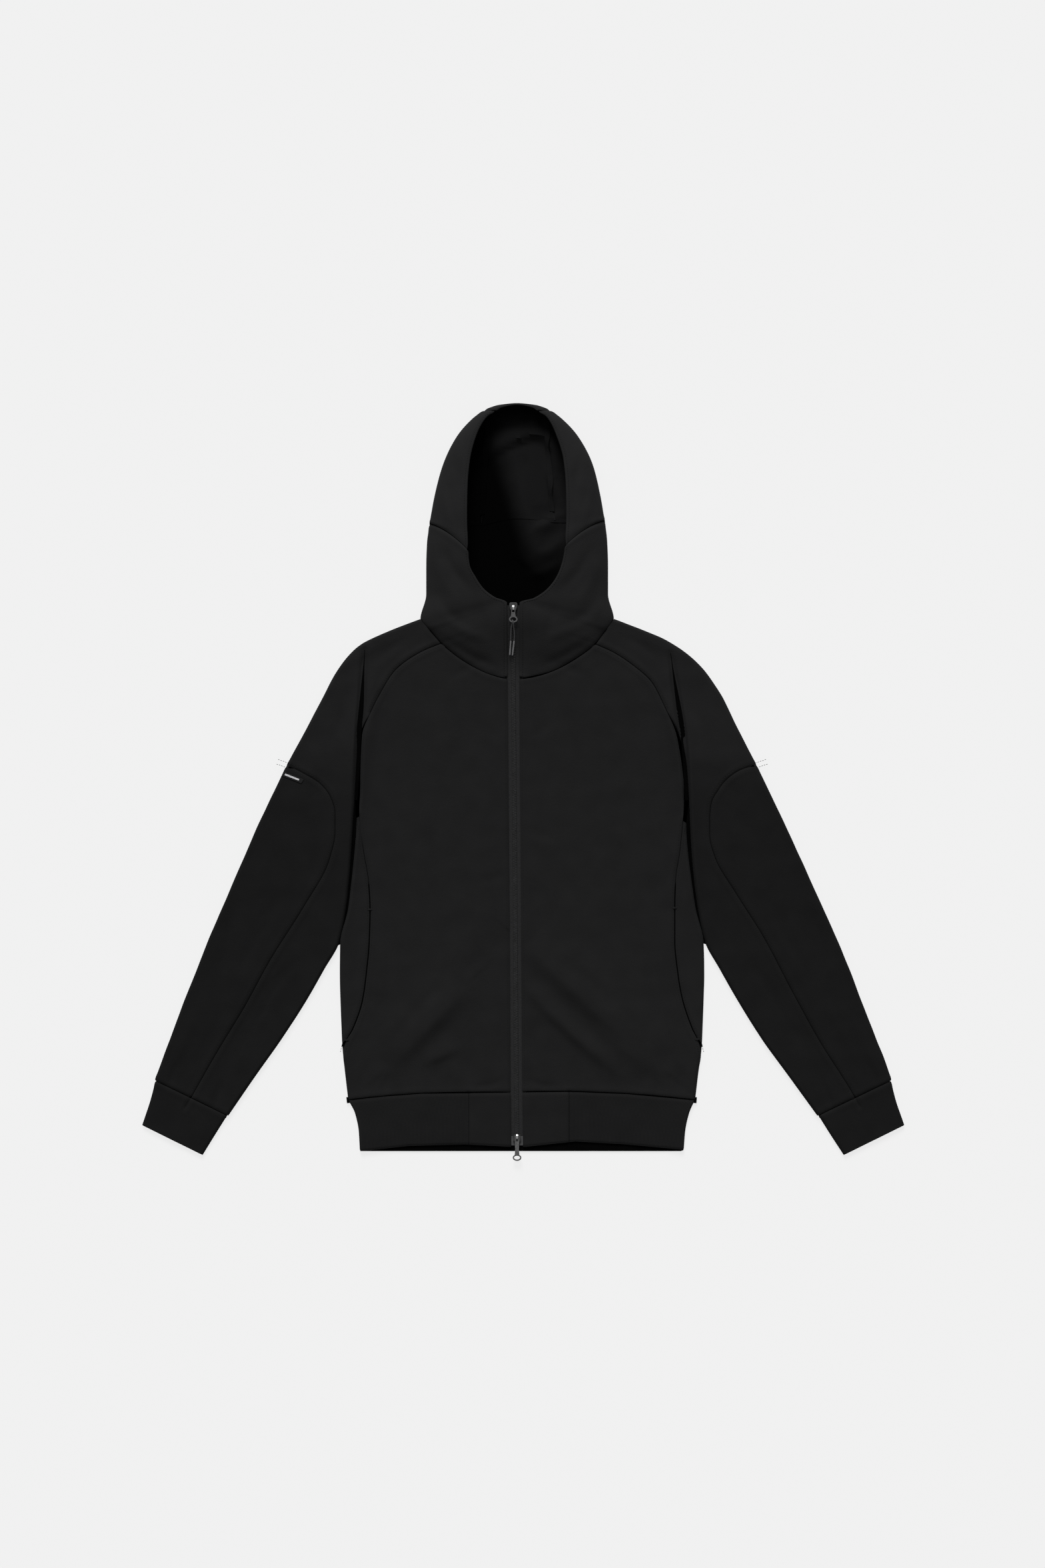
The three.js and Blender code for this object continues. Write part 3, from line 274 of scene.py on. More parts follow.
# Hem band: half widths from the seam to the free edge, and its two lines in front.
HEM_COLUMNS = ("y", "left", "right")
HEM = [(-419.6, -231, 227), (-438, -222, 219), (-462, -217, 214), (-487, -216, 212)]
HEM_RIB_ENDS = {"left": -72, "right": 61}
HEM_TOP_LINE = [(-231, -419.6), (-187, -415), (-134, -411), (-20, -409.5), (62, -408.6), (136, -411.4), (227, -419.6)]
HEM_FREE_EDGE = [(-216, -487), (-151, -480), (-76, -478), (-17, -481), (3, -481), (69, -474), (136, -478), (212, -485)]
RIB_PITCH = 1.95
RIB_HEIGHT = 0.45

# Hood: sections of the upper hood from its outline to the rim of the face opening, with the rim's
# height, and the place on the underside where the section meets the middle strip.
HOOD_COLUMNS = ("outline x", "outline y", "rim x", "rim y", "rise", "under x", "under y", "bow")
HOOD_SIDE = {
    "left": [
        (-52, 490, -37, 487, 24, -47.3, 484, 0),
        (-66, 480, -48, 479, 27, -48.2, 470, 0),
        (-88, 455, -61, 456, 31, -49.6, 448, 0),
        (-106, 418, -70, 421, 34, -51.6, 415, 0),
        (-117, 377, -73, 385, 36, -53.8, 380, 0),
        (-122, 350, -73.5, 345, 37, -55.5, 352, 0),
        (-123.5, 341, -72.5, 305, 37, -56.2, 341, 4),
    ],
    "right": [
        (36, 490, 20, 487, 24, 31.3, 484, 0),
        (50, 480, 31, 479, 27, 32.2, 470, 0),
        (73, 455, 43, 456, 31, 33.6, 448, 0),
        (92, 418, 53, 421, 34, 35.7, 415, 0),
        (102, 377, 56, 385, 36, 37.9, 380, 0),
        (106, 354, 56.5, 350, 37, 39.5, 354, 0),
        (107.5, 345, 55.5, 311, 37, 40.1, 345, 4),
    ],
}

# Collar: sections from the outline, and then from the neck seam, to the rim, and then to the zip.
COLLAR_COLUMNS = ("outline x", "outline y", "rim x", "rim y", "rise", "fold", "bow")
COLLAR = {
    "left": [
        (-123.6, 340, -72.4, 304, 37, 1, 4),
        (-127, 315, -70, 284, 36, 1, 3),
        (-128, 284, -63, 270, 35, 1, 2),
        (-128, 248, -52, 254, 33, 1, 0),
        (-135.6, 215.6, -37, 242.5, 31.5, 1, 0),
        (-121.6, 199.4, -21.2, 235, 30, 0, 0),
        (-108.4, 184, -21.2, 213, 28, 0, 0),
        (-79, 160.4, -21.2, 183, 20, 0, 0),
        (-46, 143, -21.1, 156, 11.5, 0, 0),
        (-24, 137, -21.1, 138, 7, 0, 0),
    ],
    "right": [
        (107.6, 344, 55.4, 310, 37, 1, 4),
        (111, 315, 51, 288, 36, 1, 3),
        (112, 284, 44, 270, 35, 1, 2),
        (112, 248, 32, 254, 33, 1, 0),
        (119.6, 215.6, 14, 241.5, 31.5, 1, 0),
        (107.6, 199.4, -4.8, 235, 30, 0, 0),
        (95.4, 183.2, -4.8, 213, 28, 0, 0),
        (66, 161.3, -4.8, 183, 20, 0, 0),
        (34, 145, -4.9, 156, 11.5, 0, 0),
        (-2, 137, -4.9, 138, 7, 0, 0),
    ],
}

# Middle strip of the hood: lengths of cloth side by side, from the rim over the crown to the nape.
STRIP_COLUMNS = ("crown x", "crown y", "rim x", "rim y", "foot x", "foot y")
HOOD_STRIP = [
    (-51.4, 490.3, -36.6, 487.4, -55.7, 341),
    (-33, 497, -28, 492, -39, 345),
    (-8, 499.3, -8, 495.5, -8, 350),
    (17, 497, 12, 492, 23, 348),
    (35.4, 490.3, 19.6, 487.4, 39.7, 345),
]
STRIP_RISE = 23
HOOD_FOLD = 5
NAPE = [(-108.4, 184), (-8, 177), (95.4, 183.2)]

# Soft folds: points along each, its half width and its height; their ends fade by a fixed share.
FOLDS = [
    ([(-262, -30), (-262, -130)], 16, 2.2),
    ([(262, -30), (264, -130)], 16, 2.2),
    ([(-345, -215), (-398, -330)], 18, 2.0),
    ([(352, -215), (404, -330)], 18, 2.0),
    ([(-330, -150), (-400, -250)], 22, -0.8),
    ([(332, -150), (402, -250)], 22, -0.8),
    ([(-196, 150), (-202, 30)], 9, 2.4),
    ([(190, 140), (200, 30)], 9, 2.4),
]


def columns(rows, names, wanted):
    """The wanted columns of a table, as an array with a row for each section."""
    places = [names.index(name) for name in wanted]
    return np.array([[row[k] for k in places] for row in rows], float)


def points_of(rows, names, place):
    """The plan points that a table holds under one place's name."""
    return columns(rows, names, (place + " x", place + " y"))


def smooth(t):
    held = np.clip(t, 0, 1)
    return held * held * (3 - 2 * held)


def length_along(points):
    """Distance along a line of points, from its first one."""
    steps = np.linalg.norm(np.diff(points, axis=0), axis=1)
    return np.concatenate([[0], np.cumsum(steps)])


def curve_through(knots, values, at):
    """Values at places along rows of values: a cubic that turns no further than its rows do."""
    knots = np.asarray(knots, float)
    values = np.asarray(values, float)
    slopes = np.diff(values, axis=0) / np.diff(knots)[:, None]
    before = np.vstack([slopes[:1], slopes])
    after = np.vstack([slopes, slopes[-1:]])
    product = before * after
    total = np.where(np.abs(before + after) < 1e-9, 1, before + after)
    tangents = np.where(product > 0, 2 * product / total, 0)
    tangents[0] = slopes[0]
    tangents[-1] = slopes[-1]
    k = np.clip(np.searchsorted(knots, at, side="right") - 1, 0, len(knots) - 2)
    width = (knots[k + 1] - knots[k])[:, None]
    t = ((at - knots[k])[:, None]) / width
    first = (1 + 2 * t) * (1 - t) ** 2 * values[k] + t * (1 - t) ** 2 * width * tangents[k]
    second = t * t * (3 - 2 * t) * values[k + 1] + t * t * (t - 1) * width * tangents[k + 1]
    return first + second


def edge_places(length, pitch, fine=(0.7, 0.7, 0.8, 0.9, 1.1, 1.4, 1.8)):
    """Places from 0 to a length: close together at both ends, for the seams, and even between."""
    ends = np.cumsum(fine)
    if length < 2 * ends[-1] + pitch:
        return np.linspace(0, length, max(4, int(length / 1.2) + 1))
    count = max(1, round((length - 2 * ends[-1]) / pitch))
    middle = np.linspace(ends[-1], length - ends[-1], count + 1)
    return np.concatenate([[0], ends[:-1], middle, length - ends[:-1][::-1], [length]])


def smooth_rows(rows, pitch, key):
    """A table's rows made fine, with places close together at the first and the last of them."""
    rows = np.asarray(rows, float)
    knots = length_along(rows[:, key])
    return curve_through(knots, rows, edge_places(knots[-1], pitch))


def fine_line(points, pitch=4):
    points = np.asarray(points, float)
    knots = length_along(points)
    return curve_through(knots, points, np.linspace(0, knots[-1], max(2, int(knots[-1] / pitch))))


def distance_to(x, y, line, signed=False):
    """Distance from places in plan to a line of points, and how far along it, from 0 to 1.

    A signed distance is below 0 on the left of the line's run."""
    line = np.asarray(line, float)
    knots = length_along(line)
    nearest = np.full(np.shape(x), np.inf)
    along = np.zeros(np.shape(x))
    right = np.zeros(np.shape(x), bool)
    for i in range(len(line) - 1):
        (ax, ay), (bx, by) = line[i], line[i + 1]
        dx, dy = bx - ax, by - ay
        span = dx * dx + dy * dy
        if span < 1e-12:
            continue
        t = np.clip(((x - ax) * dx + (y - ay) * dy) / span, 0, 1)
        away = np.hypot(x - ax - dx * t, y - ay - dy * t)
        closer = away < nearest
        nearest = np.where(closer, away, nearest)
        right = np.where(closer, (x - ax) * dy - (y - ay) * dx > 0, right)
        along = np.where(closer, (knots[i] + t * math.sqrt(span)) / knots[-1], along)
    if signed:
        nearest = np.where(right, nearest, -nearest)
    return nearest, along


def soft_fold(x, y, points, half_width, rise, fade=0.06):
    """A fold's height: one half width for both sides, or one for the left of its run and one for the right."""
    left, right = half_width if isinstance(half_width, tuple) else (half_width, half_width)
    away, t = distance_to(x, y, points, signed=True)
    across = away / np.where(away > 0, right, left)
    return rise * np.exp(-(across ** 2)) * np.sin(math.pi * (fade + (1 - 2 * fade) * t))


def zip_x(y):
    ys, xs = zip(*ZIP_LINE)
    return np.interp(y, ys, xs)


# Every line in plan where the cloth turns under.
def edge_lines():
    lines = []
    for side in SIDES:
        sleeve = SLEEVE[side]
        lines.append(points_of(sleeve, SLEEVE_COLUMNS, "outer"))
        lines.append(points_of([row for row in sleeve if not row[4]], SLEEVE_COLUMNS, "inner"))
        foot = points_of(BODY[side][LAST_SIDE_ROW + 1:], BODY_COLUMNS, "seam")
        lines.append(np.vstack([SIDE_EDGE[side], foot]))
    return lines


EDGE_LINES = edge_lines()


def plain_top(x, y):
    """Height of the cloth's upper face over the floor, for all but the hood, as the solids have it."""
    x, y = np.asarray(x, float), np.asarray(y, float)
    nearest = np.full(x.shape, np.inf)
    for line in EDGE_LINES:
        nearest = np.minimum(nearest, distance_to(x, y, line)[0])
    inside = np.maximum(0, nearest - EDGE_TOP / 2)
    height = REST_TOP + (EDGE_TOP - REST_TOP) * np.exp(-inside / EDGE_SOFTNESS)
    lift = ZIP_LIFT * np.exp(-(((x - zip_x(y)) / ZIP_LIFT_WIDTH) ** 2))
    height = height + np.where(y < NECK_Y, lift, 0)
    for points, half_width, rise in FOLDS:
        height = height + soft_fold(x, y, points, half_width, rise, 0.12)
    return height


# Creases finer than the solids' folds: points along each, its half width, its height, troughs below 0.
CREASES = [
    ([(-197, 150), (-204, 96), (-206, 40)], 8, 1.1),
    ([(184, 150), (192, 96), (200, 40)], 8, 1.1),
    ([(-222, 130), (-236, 92), (-248, 58)], 9, -1.0),
    ([(208, 136), (222, 98), (238, 62)], 9, -1.0),
    ([(-262, 8), (-277, -22), (-281, -70)], 9, -1.5),
    ([(262, 8), (277, -20), (283, -68)], 9, -1.5),
    ([(-263, -26), (-268, -80), (-279, -128)], 8, -1.3),
    ([(262, -24), (268, -80), (280, -128)], 8, -1.3),
    ([(-318, -150), (-352, -196), (-372, -246)], 7, -1.5),
    ([(-372, -150), (-386, -196), (-392, -232)], 9, -1.2),
    ([(-300, -236), (-336, -276), (-360, -330)], 7, -1.3),
    ([(318, -150), (350, -200), (376, -262)], 7, -1.5),
    ([(374, -156), (388, -204), (396, -240)], 9, -1.2),
    ([(302, -240), (334, -284), (362, -336)], 7, -1.3),
    ([(-338, -262), (-372, -330), (-402, -398)], 10, -1.6),
    ([(-392, -300), (-420, -352), (-440, -388)], 8, -1.1),
    ([(-430, -300), (-452, -350), (-462, -380)], 9, 1.0),
    ([(340, -262), (372, -330), (402, -396)], 10, -1.6),
    ([(394, -300), (420, -350), (440, -388)], 8, -1.1),
    ([(430, -300), (452, -348), (462, -378)], 9, 1.0),
    ([(-396, -392), (-404, -414), (-410, -432)], 5, -1.1),
    ([(-424, -372), (-434, -398), (-440, -418)], 5, -0.9),
    ([(-456, -368), (-463, -388), (-468, -402)], 5, -0.8),
    ([(394, -392), (402, -414), (409, -432)], 5, -1.1),
    ([(424, -372), (434, -398), (440, -418)], 5, -0.9),
    ([(456, -368), (463, -388), (468, -402)], 5, -0.8),
    ([(-178, -374), (-130, -326), (-76, -270)], (38, 14), 4.8),
    ([(-134, -372), (-112, -362), (-86, -350)], (12, 7), 2.0),
    ([(-100, -262), (-140, -300), (-176, -348)], 9, -0.9),
    ([(-30, -196), (-54, -230), (-90, -262)], 10, -0.7),
    ([(4, -216), (40, -248), (71, -276), (138, -340), (182, -376)], (42, 15), 5.3),
    ([(2, -266), (39, -307), (82, -347), (126, -384)], (12, 9), 3.4),
    ([(90, -322), (130, -354), (168, -382)], (10, 20), 2.2),
    ([(40, -226), (96, -272), (150, -318)], 10, -0.8),
    ([(-102, -4), (-98, -54), (-90, -112)], 17, -1.6),
    ([(-142, 34), (-136, -40), (-138, -130)], 15, 0.9),
    ([(84, 6), (92, -60), (86, -120)], 17, -1.3),
    ([(132, 40), (128, -30), (134, -118)], 15, 0.9),
    ([(-60, 96), (-82, 40), (-86, -20)], 14, -0.8),
    ([(44, 96), (62, 44), (66, -16)], 14, -0.8),
    ([(-170, 96), (-158, 30), (-166, -60)], 12, -0.8),
    ([(158, 96), (150, 30), (158, -60)], 12, -0.8),
    ([(-26, -392), (-44, -400), (-66, -402)], 4, -0.9),
    ([(6, -392), (24, -400), (48, -402)], 4, -0.9),
    ([(-24, -120), (-40, -128), (-58, -130)], 6, -0.7),
    ([(4, -60), (22, -70), (44, -74)], 6, -0.7),
    ([(-26, 60), (-46, 66), (-70, 84)], 7, -0.6),
    ([(0, 60), (20, 66), (44, 84)], 7, -0.6),
    ([(-214, -196), (-221, -246), (-219, -300)], 6, -1.0),
    ([(212, -196), (218, -246), (217, -298)], 6, -1.0),
    ([(-188, -184), (-186, -240), (-194, -296)], 10, 1.2),
    ([(186, -184), (184, -240), (192, -294)], 10, 1.2),
    ([(-176, 190), (-200, 176), (-226, 158)], 7, 0.7),
    ([(158, 192), (182, 180), (206, 164)], 7, 0.7),
    ([(-150, 192), (-172, 178), (-196, 158)], 6, -0.6),
    ([(134, 192), (156, 180), (178, 162)], 6, -0.6),
    ([(-62, 158), (-76, 148), (-94, 140)], 5, -0.8),
    ([(48, 158), (62, 149), (80, 142)], 5, -0.8),
    ([(-96, -388), (-100, -400), (-102, -412)], 5, -0.8),
    ([(-176, -384), (-182, -400), (-184, -412)], 5, -0.9),
    ([(-206, -372), (-212, -392), (-214, -410)], 6, -0.9),
    ([(96, -386), (100, -398), (101, -410)], 5, -0.8),
    ([(172, -384), (178, -400), (180, -412)], 5, -0.9),
    ([(204, -372), (209, -392), (211, -410)], 6, -0.9),
]

# The deep fold between each sleeve and the body: its points in plan, from the shoulder to the armpit's end.
ARMPIT_FOLD = {
    "left": [(-209, 174), (-211, 140), (-213.5, 100), (-217, 60), (-219, 20), (-222, -24), (-225, -68),
             (-228, -116), (-233, -165), (-242, -212)],
    "right": [(194.5, 170), (199, 138), (205, 100), (211, 60), (214.5, 20), (216.5, -24), (219, -68),
              (223, -116), (229, -165), (239, -210)],
}
ARMPIT_ROLL = (11, 4.8)
ARMPIT_VALLEY = (4.0, -13)
ARMPIT_OPEN = 2.0
SIDE_PANEL_TOP = -44
POCKET_TOP = -131
POCKET_FOOT = -341
POCKET_GAPE = 0.45


def armpit_opening(y):
    """How far the edges of sleeve and body stand back from the fold between them."""
    return ARMPIT_OPEN * smooth((88 - y) / 60) * smooth((y + 216) / 190)


def body_opening(y):
    """The same for the body's edge, which stays closed where the front meets the side panel."""
    return armpit_opening(y) * (0.5 + 0.5 * smooth(np.abs(y - SIDE_PANEL_TOP) / 30))


def seam_opening(y):
    """Half the gap at a side seam: wider at the pocket's mouth."""
    return PANEL_GAP + POCKET_GAPE * smooth((POCKET_TOP - y) / 6) * smooth((y - POCKET_FOOT) / 6)


def armpit_relief(x, y):
    total = np.zeros(np.shape(x))
    for side in SIDES:
        line = ARMPIT_FOLD[side]
        total = total + soft_fold(x, y, fine_line(line, 8), *ARMPIT_ROLL, 0.04)
        total = total + soft_fold(x, y, fine_line(line[:6], 8), *ARMPIT_VALLEY, 0.04)
    return total


# Seams in plan. Each presses a valley into the cloth, with a soft swell beside it.
SEAM_VALLEY = 1.15
SEAM_HALF = 1.5
SEAM_SWELL = 0.45
SWELL_AT = 5.0
SWELL_HALF = 3.4
STITCH_INSET = 3.2
STITCH_DIMPLE = 0.28
STITCH_HALF = 0.75

# Pocket mouths lie in the side seams between two bar tacks.
POCKET_ROWS = {"left": (11, 16), "right": (11, 16)}


def seam_lines():
    """Each seam's name, its points in plan and whether stitches run beside it."""
    lines = {}
    for side in SIDES:
        seam = points_of(BODY[side], BODY_COLUMNS, "seam")
        outward = OUTWARD[side]
        lines["raglan_" + side] = (seam[:5], True)
        lines["side_" + side] = (seam[FIRST_SIDE_ROW:LAST_SIDE_ROW + 2], True)
        lines["elbow_" + side] = (np.array(ELBOW_SEAM[side], float), True)
        cuff = CUFF[side][0]
        lines["cuff_" + side] = (np.array([cuff[:2], cuff[2:4]], float), False)
        neck = [row[:2] for row in COLLAR[side][5:]]
        lines["neck_" + side] = (np.array(neck, float), False)
        ys = np.linspace(NECK_Y, ZIP_BOTTOM_Y, 12)
        edge = np.stack([zip_x(ys) + outward * ZIP_SHOWN_HALF, ys], axis=1)
        lines["zip_" + side] = (edge, True)
        end_x = HEM_RIB_ENDS[side]
        ends = [(end_x, line_y(HEM_TOP_LINE, end_x)), (end_x, line_y(HEM_FREE_EDGE, end_x))]
        lines["hem_end_" + side] = (np.array(ends, float), False)
    lines["hem"] = (np.array(HEM_TOP_LINE, float), False)
    return lines


def line_y(line, x):
    xs, ys = zip(*line)
    return np.interp(x, xs, ys)


SEAMS = {name: (fine_line(points, 7), stitched) for name, (points, stitched) in seam_lines().items()}

# Slow unevenness of cloth that lies loosely: a few long waves, the same on each run.
WAVES = [(random.uniform(28, 75), random.uniform(0, math.pi), random.uniform(0, 2 * math.pi)) for _ in range(14)]
WAVE_HEIGHT = 0.16


# The creases' heights are in mm for light from one side; this share makes up for the softer light of the room.
CREASE_DEPTH = 1.5
SOFT_FLOOR = 0.5


def unevenness(x, y):
    total = np.zeros(np.shape(x))
    for length, angle, phase in WAVES:
        run = x * math.cos(angle) + y * math.sin(angle)
        total = total + np.sin(2 * math.pi * run / length + phase)
    return WAVE_HEIGHT * total / math.sqrt(len(WAVES) / 2)


def seam_relief(away, stitched):
    relief = -SEAM_VALLEY * np.exp(-((away / SEAM_HALF) ** 2))
    relief = relief + SEAM_SWELL * np.exp(-(((away - SWELL_AT) / SWELL_HALF) ** 2))
    if stitched:
        relief = relief - STITCH_DIMPLE * np.exp(-(((away - STITCH_INSET) / STITCH_HALF) ** 2))
    return relief


def surface(x, y):
    """Height of the cloth's upper face with its creases and seams."""
    x, y = np.asarray(x, float), np.asarray(y, float)
    height = plain_top(x, y) + unevenness(x, y)
    for points, half_width, rise in CREASES:
        height = height + soft_fold(x, y, points, half_width, CREASE_DEPTH * rise)
    height = height + armpit_relief(x, y)
    above = height - LOWEST_TOP
    height = LOWEST_TOP + (above + np.sqrt(above * above + SOFT_FLOOR)) / 2
    for points, stitched in SEAMS.values():
        near = np.abs(x - points[:, 0].mean()) < np.ptp(points[:, 0]) / 2 + 20
        if not near.any():
            continue
        away, _ = distance_to(x, y, points)
        height = height + seam_relief(away, stitched)
    return np.maximum(FRONT_FLOOR + 1.0, height)


# Spacing of places across a panel: fine beside its seams and even between.
FINE = np.cumsum((0.7, 0.7, 0.8, 0.9, 1.1, 1.4, 1.8))
PITCH = 2.6
TURN_STEPS = 7
FOLD_STEPS = 11


def spread(length, middle):
    """Places from 0 to a length, as many for any length, with the fine ones at both ends."""
    ends = FINE * min(1, length / (2 * FINE[-1] + 4))
    between = np.linspace(ends[-1], length - ends[-1], middle)
    return np.concatenate([[0], ends[:-1], between, length - ends[:-1][::-1], [length]])


def from_edge(start, end, places):
    """Points in plan at distances from start towards end."""
    start, end = np.asarray(start, float), np.asarray(end, float)
    direction = (end - start) / max(1e-6, np.linalg.norm(end - start))
    return start + np.asarray(places, float)[:, None] * direction


def turn_down(start, end, bend):
    """The edge of an upper layer that turns down to the layer below: its places, and their share of the height."""
    angles = np.linspace(math.pi / 2, 0, TURN_STEPS)
    places = (EDGE_TOP - FRONT_FLOOR) * (1 - np.sin(angles))
    return from_edge(start, end, places), 1 - bend * (1 - np.cos(angles))


def fold_round(edge, toward, top):
    """A full fold from the cloth's top round to the floor."""
    radius = top / 2
    angles = np.linspace(math.pi / 2, -math.pi / 2, FOLD_STEPS)
    plan = from_edge(edge, toward, radius * (1 - np.cos(angles)))
    return np.column_stack([plan, radius * (1 + np.sin(angles))])


def raise_grid(plan, share=None):
    """A grid of plan points set on the cloth's top. A share below 1 sinks a point towards the layer below."""
    x, y = plan[..., 0], plan[..., 1]
    z = surface(x, y)
    if share is not None:
        z = FRONT_FLOOR + (z - FRONT_FLOOR) * share
    return np.stack([x, y, z], axis=-1)


def grid_normals(grid):
    """Unit normals of a grid's points, the one at its highest point facing up."""
    across = grid[1:, 1:] - grid[:-1, :-1]
    other = grid[1:, :-1] - grid[:-1, 1:]
    faces = np.cross(across, other)
    faces /= np.maximum(np.linalg.norm(faces, axis=-1, keepdims=True), 1e-12)
    total = np.zeros_like(grid)
    for a, b in ((0, 0), (0, 1), (1, 0), (1, 1)):
        rows, cols = faces.shape[:2]
        total[a:a + rows, b:b + cols] += faces
    normals = total / np.maximum(np.linalg.norm(total, axis=-1, keepdims=True), 1e-12)
    highest = np.unravel_index(np.argmax(grid[..., 2]), grid.shape[:2])
    if normals[highest][2] < 0:
        normals = -normals
    return normals


def wall_parts(grid, thickness, closed_below):
    """Points and faces of a closed wall of cloth from the grid of its outer face."""
    rows, cols = grid.shape[:2]
    normals = grid_normals(grid)
    inner = grid - normals * thickness
    if closed_below:
        lies_above = grid[..., 2] >= FRONT_FLOOR
        inner[..., 2] = np.where(lies_above, np.maximum(inner[..., 2], FRONT_FLOOR), inner[..., 2])
    points = np.concatenate([grid.reshape(-1, 3), inner.reshape(-1, 3)])
    at = np.arange(rows * cols).reshape(rows, cols)
    below = at + rows * cols
    a, b, c, d = at[:-1, :-1].ravel(), at[1:, :-1].ravel(), at[1:, 1:].ravel(), at[:-1, 1:].ravel()
    outer_faces = np.stack([a, b, c, d], axis=1)
    inner_faces = np.stack([a, d, c, b], axis=1) + rows * cols
    rims = []
    for line, low, turned in (
        (at[:, 0], below[:, 0], False), (at[:, -1], below[:, -1], True),
        (at[0], below[0], True), (at[-1], below[-1], False),
    ):
        rim = np.stack([line[:-1], low[:-1], low[1:], line[1:]], axis=1)
        rims.append(rim[:, ::-1] if turned else rim)
    faces = np.concatenate([outer_faces, inner_faces, *rims])
    kinds = np.zeros(len(faces), int)
    kinds[len(outer_faces):len(outer_faces) + len(inner_faces)] = 1
    corners = points[faces]
    doubled = np.cross(corners[:, 2] - corners[:, 0], corners[:, 3] - corners[:, 1])
    if (doubled * corners.mean(axis=1)).sum() < 0:
        faces = faces[:, ::-1]
    return points, faces, kinds


def mesh_object(name, points, faces, materials, kinds=None, sharp_degrees=40):
    """A smooth shaded object from points in millimetres."""
    mesh = bpy.data.meshes.new(name)
    mesh.from_pydata((np.asarray(points) * MM).tolist(), [], [tuple(map(int, face)) for face in faces])
    for material in materials:
        mesh.materials.append(material)
    if kinds is not None and len(materials) > 1:
        mesh.polygons.foreach_set("material_index", np.asarray(kinds, np.int32))
    mesh.shade_smooth()
    mesh.set_sharp_from_angle(angle=math.radians(sharp_degrees))
    mesh.update()
    made = bpy.data.objects.new(name, mesh)
    bpy.context.scene.collection.objects.link(made)
    return made


def joined(parts):
    """Several point and face sets as one."""
    points, faces, kinds = [], [], []
    start = 0
    for part_points, part_faces, part_kinds in parts:
        points.append(part_points)
        faces.extend((np.asarray(part_faces) + start).tolist())
        kinds.extend(part_kinds)
        start += len(part_points)
    return np.concatenate(points), faces, kinds


def add_cloth(name, node, grids, materials, thickness=CLOTH, closed_below=True):
    """A cloth piece from one grid or several, riding on the garment in place of its plain solid."""
    parts = [wall_parts(grid, thickness, closed_below) for grid in grids]
    points, faces, kinds = joined(parts)
    made = mesh_object(name, points, faces, materials, kinds)
    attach(made, "garment")
    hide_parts(node)
    return made


sewn_pieces = {}


# Shader building blocks. Places come from the mesh's own coordinates, in metres.
def new_material(name):
    material = bpy.data.materials.new(name)
    material.use_nodes = True
    nodes = material.node_tree.nodes
    return material, nodes, material.node_tree.links, nodes["Principled BSDF"]


def grain(nodes, links, scale, detail=4, stretch=(1, 1, 1)):
    """Noise at a scale of so many lumps a metre."""
    place = nodes.new("ShaderNodeTexCoord")
    mapping = nodes.new("ShaderNodeMapping")
    mapping.inputs["Scale"].default_value = stretch
    noise = nodes.new("ShaderNodeTexNoise")
    noise.inputs["Scale"].default_value = scale
    noise.inputs["Detail"].default_value = detail
    links.new(place.outputs["Object"], mapping.inputs["Vector"])
    links.new(mapping.outputs["Vector"], noise.inputs["Vector"])
    return noise.outputs["Fac"]


def colour_between(nodes, links, factor, low, high, start=0.3, stop=0.7):
    ramp = nodes.new("ShaderNodeValToRGB")
    ramp.color_ramp.elements[0].position = start
    ramp.color_ramp.elements[0].color = (*low, 1)
    ramp.color_ramp.elements[1].position = stop
    ramp.color_ramp.elements[1].color = (*high, 1)
    links.new(factor, ramp.inputs["Fac"])
    return ramp.outputs["Color"]


def add_bump(nodes, links, factor, target, strength, depth, below=None):
    bump = nodes.new("ShaderNodeBump")
    bump.inputs["Strength"].default_value = strength
    bump.inputs["Distance"].default_value = depth
    links.new(factor, bump.inputs["Height"])
    if below is not None:
        links.new(below, bump.inputs["Normal"])
    if target is not None:
        links.new(bump.outputs["Normal"], target.inputs["Normal"])
    return bump.outputs["Normal"]


def grey(value, blue=1.02):
    return (value, value, value * blue)


# Brushed sleeves are lighter above the elbow seam, in metres.
SLEEVE_LIGHT_FROM = -0.03
SLEEVE_LIGHT_TO = 0.07


def cloth_material(name, dark, light, sheen, nap=1.0, upper=None, gloss=None):
    """Brushed jersey: broad mottling, a fine nap and a soft sheen at grazing angles."""
    material, nodes, links, shader = new_material(name)
    mottle = grain(nodes, links, 38, detail=6)
    tone = colour_between(nodes, links, mottle, grey(dark), grey(light))
    if upper:
        place = nodes.new("ShaderNodeTexCoord")
        split = nodes.new("ShaderNodeSeparateXYZ")
        links.new(place.outputs["Object"], split.inputs["Vector"])
        blend = nodes.new("ShaderNodeMix")
        blend.data_type = "RGBA"
        links.new(between(nodes, links, split.outputs["Y"], SLEEVE_LIGHT_FROM, SLEEVE_LIGHT_TO), blend.inputs["Factor"])
        links.new(tone, blend.inputs["A"])
        links.new(colour_between(nodes, links, mottle, *map(grey, upper)), blend.inputs["B"])
        tone = blend.outputs["Result"]
    links.new(tone, shader.inputs["Base Color"])
    fuzz = grain(nodes, links, 950, detail=3)
    lumps = grain(nodes, links, 240, detail=2)
    first = add_bump(nodes, links, lumps, None, 0.25 * nap, 0.0006)
    add_bump(nodes, links, fuzz, shader, 0.4 * nap, 0.0005, below=first)
    shader.inputs["Roughness"].default_value = 0.92
    shader.inputs["Specular IOR Level"].default_value = 0.18 if gloss is None else gloss
    shader.inputs["Sheen Weight"].default_value = sheen
    shader.inputs["Sheen Roughness"].default_value = 0.45
    shader.inputs["Sheen Tint"].default_value = (0.75, 0.76, 0.8, 1)
    return material
